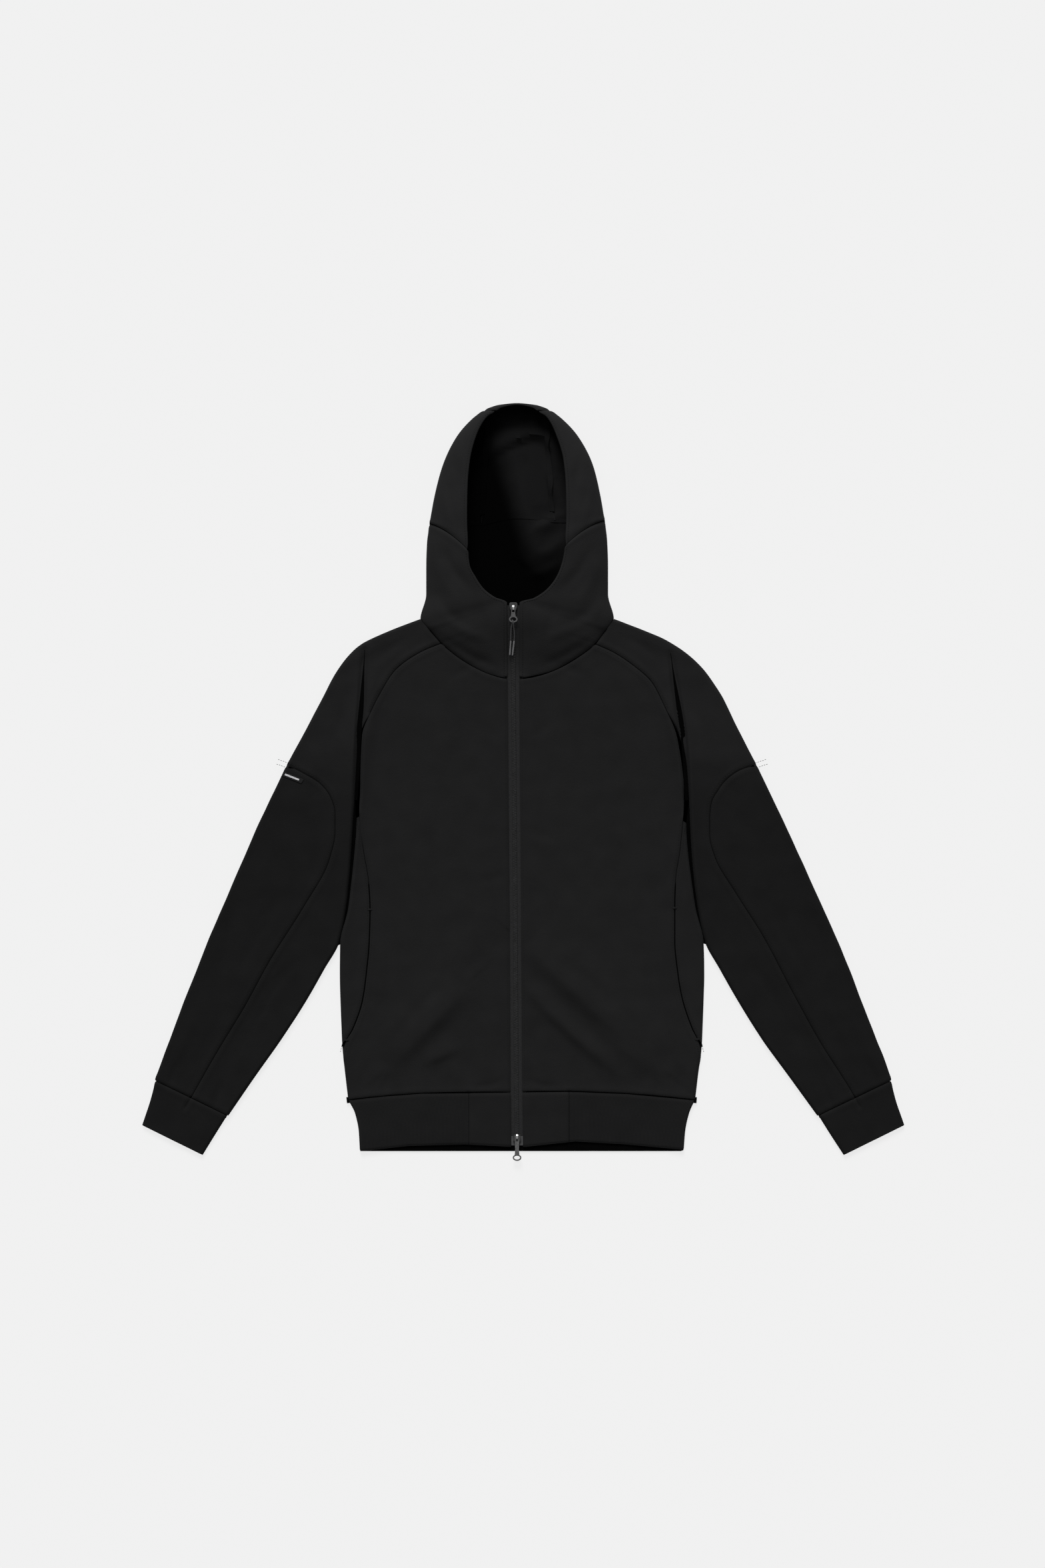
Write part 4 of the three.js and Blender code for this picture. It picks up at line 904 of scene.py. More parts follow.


# Painted shade on the hood's inside: the places painted lighter, as if lit through the face opening, in metres;
# elsewhere it is painted near black as shadow under its left wall and rim.
LIT_FROM = (-0.040, 0.400)
LIT_SLOPE = 0.3
LIT_WIDTH = 0.038
LIT_FOOT = (0.256, 0.335)
LIT_CROWN = (0.486, 0.440)


def between(nodes, links, value, start, end):
    """A number that goes smoothly from 0 at start to 1 at end."""
    node = nodes.new("ShaderNodeMapRange")
    node.interpolation_type = "SMOOTHSTEP"
    node.inputs["From Min"].default_value = start
    node.inputs["From Max"].default_value = end
    links.new(value, node.inputs["Value"])
    return node.outputs["Result"]


def worked_out(nodes, links, operation, first, second):
    node = nodes.new("ShaderNodeMath")
    node.operation = operation
    for socket, value in zip(node.inputs, (first, second)):
        if isinstance(value, (int, float)):
            socket.default_value = value
        else:
            links.new(value, socket)
    return node.outputs["Value"]


def hood_inside_painted_shade_material():
    """The hood's inside with painted shade: near black as painted shadow under its left wall, at its foot and below its
    crown, lighter with random mottling where it lies open to the light.
    """
    material, nodes, links, shader = new_material("hood_inside")
    place = nodes.new("ShaderNodeTexCoord")
    split = nodes.new("ShaderNodeSeparateXYZ")
    links.new(place.outputs["Object"], split.inputs["Vector"])
    x, y = split.outputs["X"], split.outputs["Y"]
    leaning = worked_out(nodes, links, "MULTIPLY_ADD", y, LIT_SLOPE)
    leaning.node.inputs[2].default_value = -LIT_SLOPE * LIT_FROM[1] - LIT_FROM[0]
    across = between(nodes, links, worked_out(nodes, links, "ADD", x, leaning), 0, LIT_WIDTH)
    foot = between(nodes, links, y, *LIT_FOOT)
    crown = between(nodes, links, y, *LIT_CROWN)
    crown = worked_out(nodes, links, "MAXIMUM", crown, 0.35)
    painted_light_share = worked_out(nodes, links, "MULTIPLY", across, worked_out(nodes, links, "MULTIPLY", foot, crown))
    uneven = worked_out(nodes, links, "MULTIPLY_ADD", grain(nodes, links, 34), 0.9)
    uneven.node.inputs[2].default_value = 0.55
    painted_light_mottled = worked_out(nodes, links, "MULTIPLY", painted_light_share, uneven)
    tone = colour_between(nodes, links, painted_light_mottled, grey(0.0003), grey(0.0086), 0, 1)
    links.new(tone, shader.inputs["Base Color"])
    add_bump(nodes, links, grain(nodes, links, 700, detail=3), shader, 0.35, 0.0005)
    shader.inputs["Roughness"].default_value = 0.95
    shader.inputs["Specular IOR Level"].default_value = 0.03
    return material


def woven_material(name, dark, light, scale, rough):
    """Woven tape, label or braid: crossed threads."""
    material, nodes, links, shader = new_material(name)
    warp = grain(nodes, links, scale, detail=1, stretch=(1, 0.25, 1))
    weft = grain(nodes, links, scale, detail=1, stretch=(0.25, 1, 1))
    links.new(colour_between(nodes, links, warp, grey(dark), grey(light)), shader.inputs["Base Color"])
    first = add_bump(nodes, links, warp, None, 0.5, 0.0003)
    add_bump(nodes, links, weft, shader, 0.5, 0.0003, below=first)
    shader.inputs["Roughness"].default_value = rough
    shader.inputs["Specular IOR Level"].default_value = 0.15
    return material


def metal_material(name, dark, light, rough):
    material, nodes, links, shader = new_material(name)
    wear = grain(nodes, links, 420, detail=5)
    links.new(colour_between(nodes, links, wear, grey(dark, 1), grey(light, 1)), shader.inputs["Base Color"])
    add_bump(nodes, links, grain(nodes, links, 1400), shader, 0.12, 0.0001)
    shader.inputs["Metallic"].default_value = 1
    shader.inputs["Roughness"].default_value = rough
    return material


def moulded_material(name, low, high, rough):
    material, nodes, links, shader = new_material(name)
    links.new(colour_between(nodes, links, grain(nodes, links, 160), low, high), shader.inputs["Base Color"])
    add_bump(nodes, links, grain(nodes, links, 900), shader, 0.15, 0.0001)
    shader.inputs["Roughness"].default_value = rough
    shader.inputs["Specular IOR Level"].default_value = 0.25
    return material


CLOTH_OUT = cloth_material("brushed_cloth", 0.0064, 0.008, 0.014)
HOOD_OUT = cloth_material("hood_cloth", 0.0092, 0.011, 0.012)
SLEEVE_OUT = cloth_material("sleeve_cloth", 0.0034, 0.0046, 0.012, upper=(0.0069, 0.0085))
CUFF_OUT = cloth_material("cuff_cloth", 0.0034, 0.0046, 0.012, nap=0.6)
# The cloth's inner faces are painted near black, far darker than its outer face, as painted shade where gaps and folds
# show them.
CLOTH_IN_PAINTED_SHADE = cloth_material("cloth_inside", 0.0008, 0.0014, 0, gloss=0.02)
# The hood's inside carries painted shade: near black as shadow under its walls, painted lighter where it lies open.
HOOD_IN_PAINTED_SHADE = hood_inside_painted_shade_material()
RIB_OUT = cloth_material("rib_knit", 0.0056, 0.007, 0.014, nap=0.6)
HEM_OUT = cloth_material("hem_cloth", 0.0058, 0.0072, 0.014)
THREAD = moulded_material("thread", grey(0.004), grey(0.008), 0.8)
TAPE = woven_material("zip_tape_weave", 0.012, 0.019, 1500, 0.85)
COIL = moulded_material("zip_coil_nylon", grey(0.016), grey(0.026), 0.55)
BRAID = woven_material("cord_braid", 0.045, 0.07, 1300, 0.8)
TIP = moulded_material("cord_tip_plastic", grey(0.14), grey(0.2), 0.35)
# Copies of one nickel: flat faces and slider bodies painted darker as shade, eased edges and slider crowns painted
# bright as highlights.
STEEL = metal_material("nickel_flat", 0.16, 0.26, 0.42)
SLIDER_STEEL_SHADED = metal_material("nickel_slider_painted_shade", 0.06, 0.12, 0.4)
STEEL_EDGE_HIGHLIGHT = metal_material("nickel_edge_painted_highlight", 0.4, 0.6, 0.3)
STEEL_CROWN_HIGHLIGHT = metal_material("nickel_crown_painted_highlight", 0.6, 0.85, 0.3)
LABEL = woven_material("label_weave", 0.006, 0.012, 1600, 0.6)
LABEL_BAR = woven_material("label_bar", 0.42, 0.6, 1600, 0.6)
PATCH = moulded_material("stiff_patch", grey(0.05), grey(0.07), 0.4)


# Sleeves: a shoulder and an elbow panel that meet at the elbow seam, and a cuff.
UNDER_POINTS = 5
SLEEVE_MIDDLE = 46
ELBOW_MIDDLE = 26
PANEL_GAP = 0.28
ARMPIT_REACH = 4.5
ARMPIT_END_Y = -214


def seam_crossing(start, end, line):
    """Distance from start at which the way to end crosses a line, or None."""
    start, end = np.asarray(start, float), np.asarray(end, float)
    way = end - start
    a, b = line[:-1], line[1:]
    run = b - a
    cross = way[0] * run[:, 1] - way[1] * run[:, 0]
    cross = np.where(np.abs(cross) < 1e-9, 1e-9, cross)
    offset = a - start
    t = (offset[:, 0] * run[:, 1] - offset[:, 1] * run[:, 0]) / cross
    u = (offset[:, 0] * way[1] - offset[:, 1] * way[0]) / cross
    hits = t[(t > 0) & (t < 1.2) & (u >= 0) & (u <= 1)]
    return hits.min() * np.linalg.norm(way) if len(hits) else None


def floor_line(start, end, count=UNDER_POINTS):
    points = np.linspace(np.append(start, 0), np.append(end, 0), count + 1)
    return points[1:]


def sleeve_rows(side):
    """Each fine row of a sleeve: its inner and outer place, how closed it is, and where the elbow seam crosses."""
    rows = smooth_rows(SLEEVE[side], PITCH, slice(0, 2))
    seam = fine_line(ELBOW_SEAM[side], 3)
    radius = EDGE_TOP / 2
    made = []
    started = False
    for ox, oy, ix, iy, is_open in rows:
        inner, outer = np.array([ix, iy]), np.array([ox, oy])
        inner = from_edge(inner, outer, [armpit_opening(iy)])[0]
        reach = np.linalg.norm(outer - inner) - radius
        crossing = seam_crossing(inner, outer, seam)
        started = started or (crossing is not None and crossing < reach - 2 and oy < ELBOW_SEAM[side][0][1])
        cut = min(crossing if crossing is not None else reach, reach - 2) if started else reach
        made.append((inner, outer, 1 - is_open, cut, started, reach))
    return made


def make_sleeve(side):
    rows = sleeve_rows(side)
    plans, shares, folds, unders = [], [], [], []
    elbow_plans, elbow_folds = [], []
    for inner, outer, bend, cut, started, reach in rows:
        edge, share = turn_down(inner, outer, bend)
        last = EDGE_TOP - FRONT_FLOOR
        end = cut - PANEL_GAP if started else cut
        across = from_edge(inner, outer, last + spread(end - last, SLEEVE_MIDDLE)[1:])
        plans.append(np.vstack([edge, across]))
        shares.append(np.concatenate([share, np.ones(len(across))]))
        if started:
            elbow_plans.append(from_edge(inner, outer, cut + PANEL_GAP + spread(reach - cut - PANEL_GAP, ELBOW_MIDDLE)))
            reach_in = ARMPIT_REACH if inner[1] > ARMPIT_END_Y else 0
            unders.append(np.column_stack([from_edge(inner, outer, np.linspace(-reach_in, cut, 8)), np.full(8, CLOTH)]))
    tops = raise_grid(np.array(plans), np.array(shares))
    elbow_tops = raise_grid(np.array(elbow_plans))
    first = next(k for k, row in enumerate(rows) if row[4])
    for k, (inner, outer, bend, cut, started, reach) in enumerate(rows):
        top = (elbow_tops[k - first] if started else tops[k])[-1][2]
        fold = fold_round(outer, inner, top)
        fold[:, :2] += (from_edge(inner, outer, [reach])[0] - fold[0, :2])
        under_end = from_edge(inner, outer, [cut if started else -ARMPIT_REACH])[0]
        section = np.vstack([fold, floor_line(fold[-1, :2], under_end)])
        (elbow_folds if started else folds).append(section)
    folds.append(np.vstack([elbow_folds[0][:FOLD_STEPS], floor_line(elbow_folds[0][FOLD_STEPS - 1, :2], rows[first][0])]))
    elbow = np.concatenate([elbow_tops, np.array(elbow_folds)[:, 1:]], axis=1)
    shoulder = [tops, np.array(folds), np.array(unders)]
    add_cloth(f"shoulder_{side}_cloth", f"shoulder_{side}", shoulder, [SLEEVE_OUT, CLOTH_IN_PAINTED_SHADE])
    add_cloth(f"elbow_{side}_cloth", f"elbow_{side}", [elbow], [SLEEVE_OUT, CLOTH_IN_PAINTED_SHADE])


CUFF_RIB_PITCH = 1.6
CUFF_RIB_HEIGHT = 0.1
CUFF_TUCK = 1.6
CUFF_STANDS_OFF = 0.5


def make_cuff(side):
    rows = smooth_rows(CUFF[side], PITCH, slice(0, 2))
    rows[0] += CUFF_STANDS_OFF * (rows[1] - rows[0])
    plans, shares, folds = [], [], []
    for ox, oy, ix, iy, _ in rows:
        inner, outer = np.array([ix, iy]), np.array([ox, oy])
        reach = np.linalg.norm(outer - inner) - EDGE_TOP / 2
        edge, share = turn_down(inner, outer, 1)
        last = EDGE_TOP - FRONT_FLOOR
        across = from_edge(inner, outer, np.linspace(last, reach, 4 * int((reach - last) / CUFF_RIB_PITCH / 2) + 1)[1:])
        plans.append((edge, across))
        shares.append(share)
    count = min(len(across) for _, across in plans)
    middle = [from_edge(e[-1], a[-1], np.linspace(0, np.linalg.norm(a[-1] - e[-1]), count + 1)[1:]) for e, a in plans]
    plan = np.array([np.vstack([edge, line]) for (edge, _), line in zip(plans, middle)])
    share = np.array([np.concatenate([s, np.ones(count)]) for s in shares])
    tops = raise_grid(plan, share)
    ribs = CUFF_RIB_HEIGHT * (np.arange(plan.shape[1]) % 2)
    down = np.linspace(0, 1, len(rows))[:, None]
    tops[..., 2] += ribs * smooth(down * 6) - CUFF_TUCK * np.exp(-((down * 60 / 2.5) ** 2)) * 0.3
    tops[..., 2] -= 0.9 * smooth((down - 0.965) / 0.035)
    for k, (ox, oy, ix, iy, _) in enumerate(rows):
        inner, outer = np.array([ix, iy]), np.array([ox, oy])
        fold = fold_round(outer, inner, tops[k, -1, 2])
        fold[:, :2] += tops[k, -1, :2] - fold[0, :2]
        folds.append(np.vstack([fold[1:], floor_line(fold[-1, :2], inner)]))
    grid = np.concatenate([tops, np.array(folds)], axis=1)
    add_cloth(f"cuff_{side}_cloth", f"cuff_{side}", [grid], [CUFF_OUT, CLOTH_IN_PAINTED_SHADE])


# Body: two fronts, two side panels that wrap under, and the back below them.
FRONT_MIDDLE = 74
SIDE_MIDDLE = 6


def front_rows(side):
    rows = np.array(BODY[side], float)
    knots = -rows[:, 0]
    at = knots[0] + edge_places(knots[-1] - knots[0], PITCH)
    return curve_through(knots, rows, at)


def make_front(side):
    outward = OUTWARD[side]
    plans, shares = [], []
    for zip_y, seam_x, seam_y, bow, bend in front_rows(side):
        stands_back = body_opening(seam_y) * np.clip(bend, 0, 1)
        start = np.array([seam_x - outward * (seam_opening(seam_y) + stands_back), seam_y])
        end = np.array([zip_x(zip_y) + outward * ZIP_SHOWN_HALF, zip_y])
        edge, share = turn_down(start, end, np.clip(bend, 0, 1))
        last = EDGE_TOP - FRONT_FLOOR
        length = np.linalg.norm(end - start)
        places = last + spread(length - last, FRONT_MIDDLE)[1:]
        across = from_edge(start, end, places)
        across[:, 1] += bow * 4 * (places / length) * (1 - places / length)
        plans.append(np.vstack([edge, across]))
        shares.append(np.concatenate([share, np.ones(len(across))]))
    grid = raise_grid(np.array(plans), np.array(shares))
    add_cloth(f"front_{side}_cloth", f"front_{side}", [grid], [CLOTH_OUT, CLOTH_IN_PAINTED_SHADE])


def make_side(side):
    outward = OUTWARD[side]
    seam = points_of(BODY[side][FIRST_SIDE_ROW:LAST_SIDE_ROW + 1], BODY_COLUMNS, "seam")
    rows = np.hstack([seam, np.array(SIDE_EDGE[side], float)])
    rows = smooth_rows(rows, PITCH, slice(0, 2))
    plans, folds = [], []
    full = rows[:, 2] - rows[:, 0]
    rows[:, 2] -= np.sign(full) * np.minimum(body_opening(rows[:, 3]), np.maximum(0, np.abs(full) - 3))
    for seam_x, seam_y, edge_x, edge_y in rows:
        start = np.array([seam_x + outward * seam_opening(seam_y), seam_y])
        edge = np.array([edge_x, edge_y])
        reach = max(0.6, np.linalg.norm(edge - start) - EDGE_TOP / 2)
        plans.append(from_edge(start, edge, spread(reach, SIDE_MIDDLE)))
    tops = raise_grid(np.array(plans))
    for k, (seam_x, seam_y, edge_x, edge_y) in enumerate(rows):
        edge = np.array([edge_x, edge_y])
        start = np.array([seam_x, seam_y])
        fold = fold_round(edge, start, tops[k, -1, 2])
        squeeze = min(1, abs(edge_x - tops[k, -1, 0]) / max(0.1, abs(fold[:, 0] - edge_x).max()))
        fold[:, 0] = edge_x + (fold[:, 0] - edge_x) * squeeze
        fold[:, :2] += (tops[k, -1, :2] - fold[0, :2]) * np.linspace(1, 0, FOLD_STEPS)[:, None]
        under = floor_line(fold[-1, :2], [edge_x - outward * SIDE_UNDER, edge_y])
        folds.append(np.vstack([fold[1:], under]))
    grid = np.concatenate([tops, np.array(folds)], axis=1)
    add_cloth(f"side_{side}_cloth", f"side_{side}", [grid], [CLOTH_OUT, CLOTH_IN_PAINTED_SHADE])


def floor_grid(left, right, count=30, first=None, last=None):
    """A flat grid of cloth on the floor between two edges, its first and last rows bent to a line."""
    left, right = np.asarray(left, float), np.asarray(right, float)
    t = np.linspace(0, 1, count)[:, None]
    rows = [a + (b - a) * t for a, b in zip(left, right)]
    for index, line in ((0, first), (-1, last)):
        if line is not None:
            xs, ys = zip(*line)
            rows[index][:, 1] = np.interp(rows[index][:, 0], xs, ys)
    plan = np.array(rows)
    return np.concatenate([plan, np.full(plan.shape[:2] + (1,), CLOTH)], axis=-1)


def make_back():
    above, beside, foot = [], [], []
    for side in SIDES:
        seam = points_of(BODY[side], BODY_COLUMNS, "seam")
        inset = OUTWARD[side] * (SIDE_UNDER + SEAM_GAP)
        edge = np.array(SIDE_EDGE[side], float) - [inset, 0]
        corner = [seam[FIRST_SIDE_ROW][0], SIDE_EDGE[side][0][1] + 1.5]
        above.append(np.vstack([seam[:FIRST_SIDE_ROW], corner]))
        beside.append(np.vstack([[edge[0][0], corner[1] - 0.05], edge[1:]]))
        start = [SIDE_EDGE[side][-1][0], SIDE_EDGE[side][-1][1] - SEAM_GAP]
        foot.append(np.vstack([start, seam[LAST_SIDE_ROW + 1:]]))
    grids = [
        floor_grid(*above, first=[tuple(above[0][0]), (-8, 176.5), tuple(above[1][0])]),
        floor_grid(*beside),
        floor_grid(*foot, last=[(x, y + 2 * SEAM_GAP) for x, y in HEM_TOP_LINE]),
    ]
    add_cloth("back_cloth", "back", grids, [CLOTH_OUT, CLOTH_IN_PAINTED_SHADE], closed_below=False)


# Hem band: fine ribs from the sides to plain ends beside the zip.
HEM_TOP = 5.6
HEM_EASE = 18
HEM_PITCH = 2.4
HEM_TUCK = 1.3
RIB_COLUMNS = 4


def hem_rows():
    rows = np.array(HEM, float)
    knots = -rows[:, 0]
    return curve_through(knots, rows, knots[0] + edge_places(knots[-1] - knots[0], HEM_PITCH))


def hem_height(x, y, left, right, down):
    from_side = np.minimum(x - left, right - x)
    height = HEM_TOP + (EDGE_TOP - HEM_TOP) * np.exp(-from_side / EDGE_SOFTNESS) + unevenness(x, y)
    pulled = HEM_TUCK * np.exp(-((down * 67 / 2.2) ** 2)) + 1.1 * smooth((down - 0.955) / 0.045)
    return height - pulled


def hem_plan(x, row):
    down = (HEM[0][0] - row[0]) / (HEM[0][0] - HEM[-1][0])
    y = line_y(HEM_TOP_LINE, x) * (1 - down) + line_y(HEM_FREE_EDGE, x) * down
    return y, down


def rib_relief(count):
    """Rounded ribs with narrow valleys, over so many columns."""
    turn = np.arange(count) / RIB_COLUMNS
    return RIB_HEIGHT * (np.abs(np.sin(math.pi * turn)) ** 0.7 - 1)


def make_hem():
    rows = hem_rows()
    grids = []
    for side in SIDES:
        end = HEM_RIB_ENDS[side]
        outward = OUTWARD[side]
        count = RIB_COLUMNS * round(abs(HEM[0][1 + SIDES.index(side)] - end) / RIB_PITCH)
        grid = []
        for row in rows:
            edge = row[1 + SIDES.index(side)]
            x = np.linspace(end, edge - outward * EDGE_TOP / 2, count)
            y, down = hem_plan(x, row)
            z = hem_height(x, y, row[1], row[2], down) + rib_relief(count)
            top = np.column_stack([x, y, z])
            fold = fold_round([edge, y[-1]], [0, y[-1]], z[-1])
            fold[:, 0] += x[-1] - fold[0, 0]
            fold[:, 1] = y[-1] + (row[0] - y[-1]) * np.linspace(0, 1, FOLD_STEPS)
            under_x = np.linspace(fold[-1, 0], -8, 14)[1:]
            ease = smooth((HEM[0][0] - row[0]) / HEM_EASE)
            under_y = line_y(HEM_TOP_LINE, under_x) * (1 - ease) + row[0] * ease
            under = np.column_stack([under_x, under_y, np.zeros(len(under_x))])
            grid.append(np.vstack([top, fold[1:], under]))
        grids.append(np.array(grid))
    add_cloth("hem_rib_cloth", "hem_rib", grids, [RIB_OUT, CLOTH_IN_PAINTED_SHADE])
    for side in SIDES:
        outward = OUTWARD[side]
        grid = []
        for row in rows:
            end = zip_x(row[0]) + outward * ZIP_SHOWN_HALF
            start = HEM_RIB_ENDS[side] - outward * SEAM_GAP
            x = start - outward * spread(abs(end - start), 12)
            y, down = hem_plan(x, row)
            t = np.abs(x - start) / abs(end - start)
            z = hem_height(x, y, row[1], row[2], down) + ZIP_LIFT * smooth(t)
            z += seam_relief(np.abs(x - HEM_RIB_ENDS[side]), False) + seam_relief(np.abs(x - end), True)
            grid.append(np.column_stack([x, y, z]))
        materials = [HEM_OUT, CLOTH_IN_PAINTED_SHADE]
        add_cloth(f"hem_end_{side}_cloth", f"hem_end_{side}", [np.array(grid)], materials)


# Hood and collar.
RIM_ROLL = 3.0
RIM_DROP = 1.7
HOOD_SWELL = 1.7
HOOD_STEPS = 34
RIM_STITCH = 4.5

# Ridges and troughs on the standing hood and collar: points, half width, height.
HOOD_CREASES = [
    ([(-116, 196), (-96, 182), (-66, 164), (-38, 153)], 6, -1.5),
    ([(102, 196), (84, 183), (54, 166), (28, 154)], 6, -1.5),
    ([(-120, 300), (-104, 262), (-84, 232)], 8, 1.3),
    ([(-106, 306), (-88, 274), (-66, 248)], 7, -1.3),
    ([(-118, 252), (-98, 222), (-72, 200)], 7, -1.2),
    ([(-100, 214), (-72, 196), (-44, 186)], 7, 1.2),
    ([(-58, 232), (-50, 206), (-46, 178)], 6, -0.9),
    ([(106, 300), (90, 262), (70, 232)], 8, 1.3),
    ([(90, 306), (72, 276), (48, 250)], 7, -1.3),
    ([(104, 252), (84, 222), (56, 202)], 7, -1.2),
    ([(86, 214), (56, 198), (28, 188)], 7, 1.2),
    ([(44, 232), (34, 208), (30, 180)], 6, -0.9),
    ([(-98, 440), (-84, 400), (-82, 356)], 7, -1.1),
    ([(-110, 392), (-102, 360), (-94, 334)], 6, 1.0),
    ([(82, 440), (68, 400), (66, 360)], 7, -1.1),
    ([(94, 392), (86, 362), (78, 338)], 6, 1.0),
]

# Folds of the cloth that lies inside the hood: points, half width, height.
INSIDE_FOLDS = [
    ([(-54, 424), (-34, 440), (-10, 453), (14, 460), (32, 454), (42, 436), (46, 406)], (16, 5), 7.0),
    ([(-40, 474), (0, 482), (30, 474)], (9, 5), 4.0),
    ([(46, 352), (32, 342), (14, 334)], (11, 5), 5.5),
    ([(54, 322), (36, 306), (18, 300)], (12, 6), 4.5),
    ([(50, 290), (26, 276), (4, 272)], (8, 5), 3.5),
    ([(30, 416), (35, 396), (42, 372)], (8, 3), 3.2),
    ([(-4, 420), (0, 380), (-6, 330)], (14, 14), 2.2),
    ([(-14, 306), (4, 288), (22, 270)], (8, 4), 3.0),
]


def hood_relief(x, y):
    total = unevenness(x, y) * 1.4
    for points, half_width, rise in HOOD_CREASES:
        total = total + soft_fold(x, y, points, half_width, CREASE_DEPTH * rise)
    return total


def inside_lift(x, y):
    total = np.zeros(np.shape(x))
    for points, half_width, rise in INSIDE_FOLDS:
        total = total + soft_fold(x, y, points, half_width, rise, 0.08)
    return total


def swell(t):
    return (1 - (1 - np.clip(t, 0, 1)) ** HOOD_SWELL) ** (1 / HOOD_SWELL)


def climb(outline, rim, low, high, bow=0.0, drop=RIM_DROP, groove=True):
    """A section of the hood that swells up from its outline and rolls over at the rim."""
    outline, rim = np.asarray(outline, float), np.asarray(rim, float)
    length = np.linalg.norm(rim - outline)
    roll = min(RIM_ROLL, length * 0.25)
    first = (np.linspace(0, 1, HOOD_STEPS) ** 1.5) * (length - roll)
    turn = length - roll + roll * np.sin(np.linspace(0, math.pi / 2, 6)[1:])
    places = np.concatenate([first, turn])
    t = places / length
    plan = from_edge(outline, rim, places)
    plan[:, 1] += bow * 4 * t * (1 - t)
    z = low + (high - low) * swell(places / (length - roll))
    over = np.clip((places - (length - roll)) / roll, 0, 1)
    z = z - drop * (1 - np.sqrt(1 - over ** 2 * 0.999))
    inset = length - places
    fade = np.sin(math.pi * np.clip(t, 0, 1)) ** 0.5
    z = z + hood_relief(plan[:, 0], plan[:, 1]) * fade
    if groove:
        z = z - 0.5 * np.exp(-(((inset - RIM_STITCH) / 0.9) ** 2))
    return np.column_stack([plan, z])


def hood_under(outline, toward, foot):
    """The hood's cloth on the floor and its lower quarter fold, from the foot to the outline."""
    angles = np.linspace(math.pi / 2, 0, 7)[:-1]
    quarter = np.column_stack([
        from_edge(outline, toward, HOOD_FOLD * (1 - np.cos(angles))), HOOD_FOLD * (1 - np.sin(angles)),
    ])
    flat = np.linspace(foot, quarter[0, :2], 26)[:-1]
    lifted = inside_lift(flat[:, 0], flat[:, 1])
    return np.vstack([np.column_stack([flat, lifted]), quarter])


def seam_ends(grid, valley=0.9):
    """Presses a valley into a grid's first and last rows, where its cloth is sewn to the next piece."""
    places = length_along(grid.mean(axis=1))
    for inset in (places, places[-1] - places):
        relief = seam_relief(inset, False) * valley
        normals = grid_normals(grid)
        grid = grid + normals * relief[:, None, None]
    return grid


HOOD_ROW_PITCH = 3.0


def make_hood_side(side):
    rows = smooth_rows(HOOD_SIDE[side], HOOD_ROW_PITCH, slice(0, 2))
    grid = []
    for k, (ox, oy, rx, ry, rise, ux, uy, bow) in enumerate(rows):
        share = k / (len(rows) - 1)
        toward = np.array([rx, ry]) * (1 - share) + np.array([ux, uy]) * share
        under = hood_under([ox, oy], toward, [ux, uy])
        grid.append(np.vstack([under, climb([ox, oy], [rx, ry], HOOD_FOLD, rise, bow)]))
    grid = seam_ends(np.array(grid))
    add_cloth(f"hood_{side}_cloth", f"hood_{side}", [grid], [HOOD_OUT, HOOD_IN_PAINTED_SHADE], closed_below=False)
    return grid


def make_hood_strip():
    rows = np.array(HOOD_STRIP, float)
    knots = rows[:, 0]
    fine = curve_through(knots, rows, knots[0] + edge_places(knots[-1] - knots[0], HOOD_ROW_PITCH))
    grid = []
    for cx, cy, rx, ry, fx, fy in fine:
        under = hood_under([cx, cy], [rx, ry], [fx, fy])
        grid.append(np.vstack([under, climb([cx, cy], [rx, ry], HOOD_FOLD, STRIP_RISE, drop=0.6, groove=False)]))
    grid = seam_ends(np.array(grid))
    add_cloth("hood_strip_cloth", "hood_strip", [grid], [HOOD_OUT, HOOD_IN_PAINTED_SHADE], closed_below=False)
    return grid


def zip_climb(y):
    return COLLAR_RISE * smooth((np.asarray(y, float) - NECK_Y) / (ZIP_TOP_Y - NECK_Y))


def zip_tape_at(y):
    return FRONT_FLOOR + 0.1 + zip_climb(y)


def make_collar(side):
    table = np.array(COLLAR[side], float)
    rows = smooth_rows(table, HOOD_ROW_PITCH, slice(0, 2))
    grid = []
    for ox, oy, rx, ry, rise, is_fold, bow in rows:
        beside_zip = REST_TOP + ZIP_LIFT + float(zip_climb(ry))
        top = is_fold * rise + (1 - is_fold) * beside_zip
        low = is_fold * FRONT_FLOOR + (1 - is_fold) * float(surface(np.array([ox]), np.array([oy]))[0])
        grid.append(climb([ox, oy], [rx, ry], min(low, top), top, bow, drop=RIM_DROP * is_fold + 0.8 * (1 - is_fold)))
    grid = seam_ends(np.array(grid))
    add_cloth(f"collar_{side}_cloth", f"collar_{side}", [grid], [HOOD_OUT, HOOD_IN_PAINTED_SHADE])
    return grid


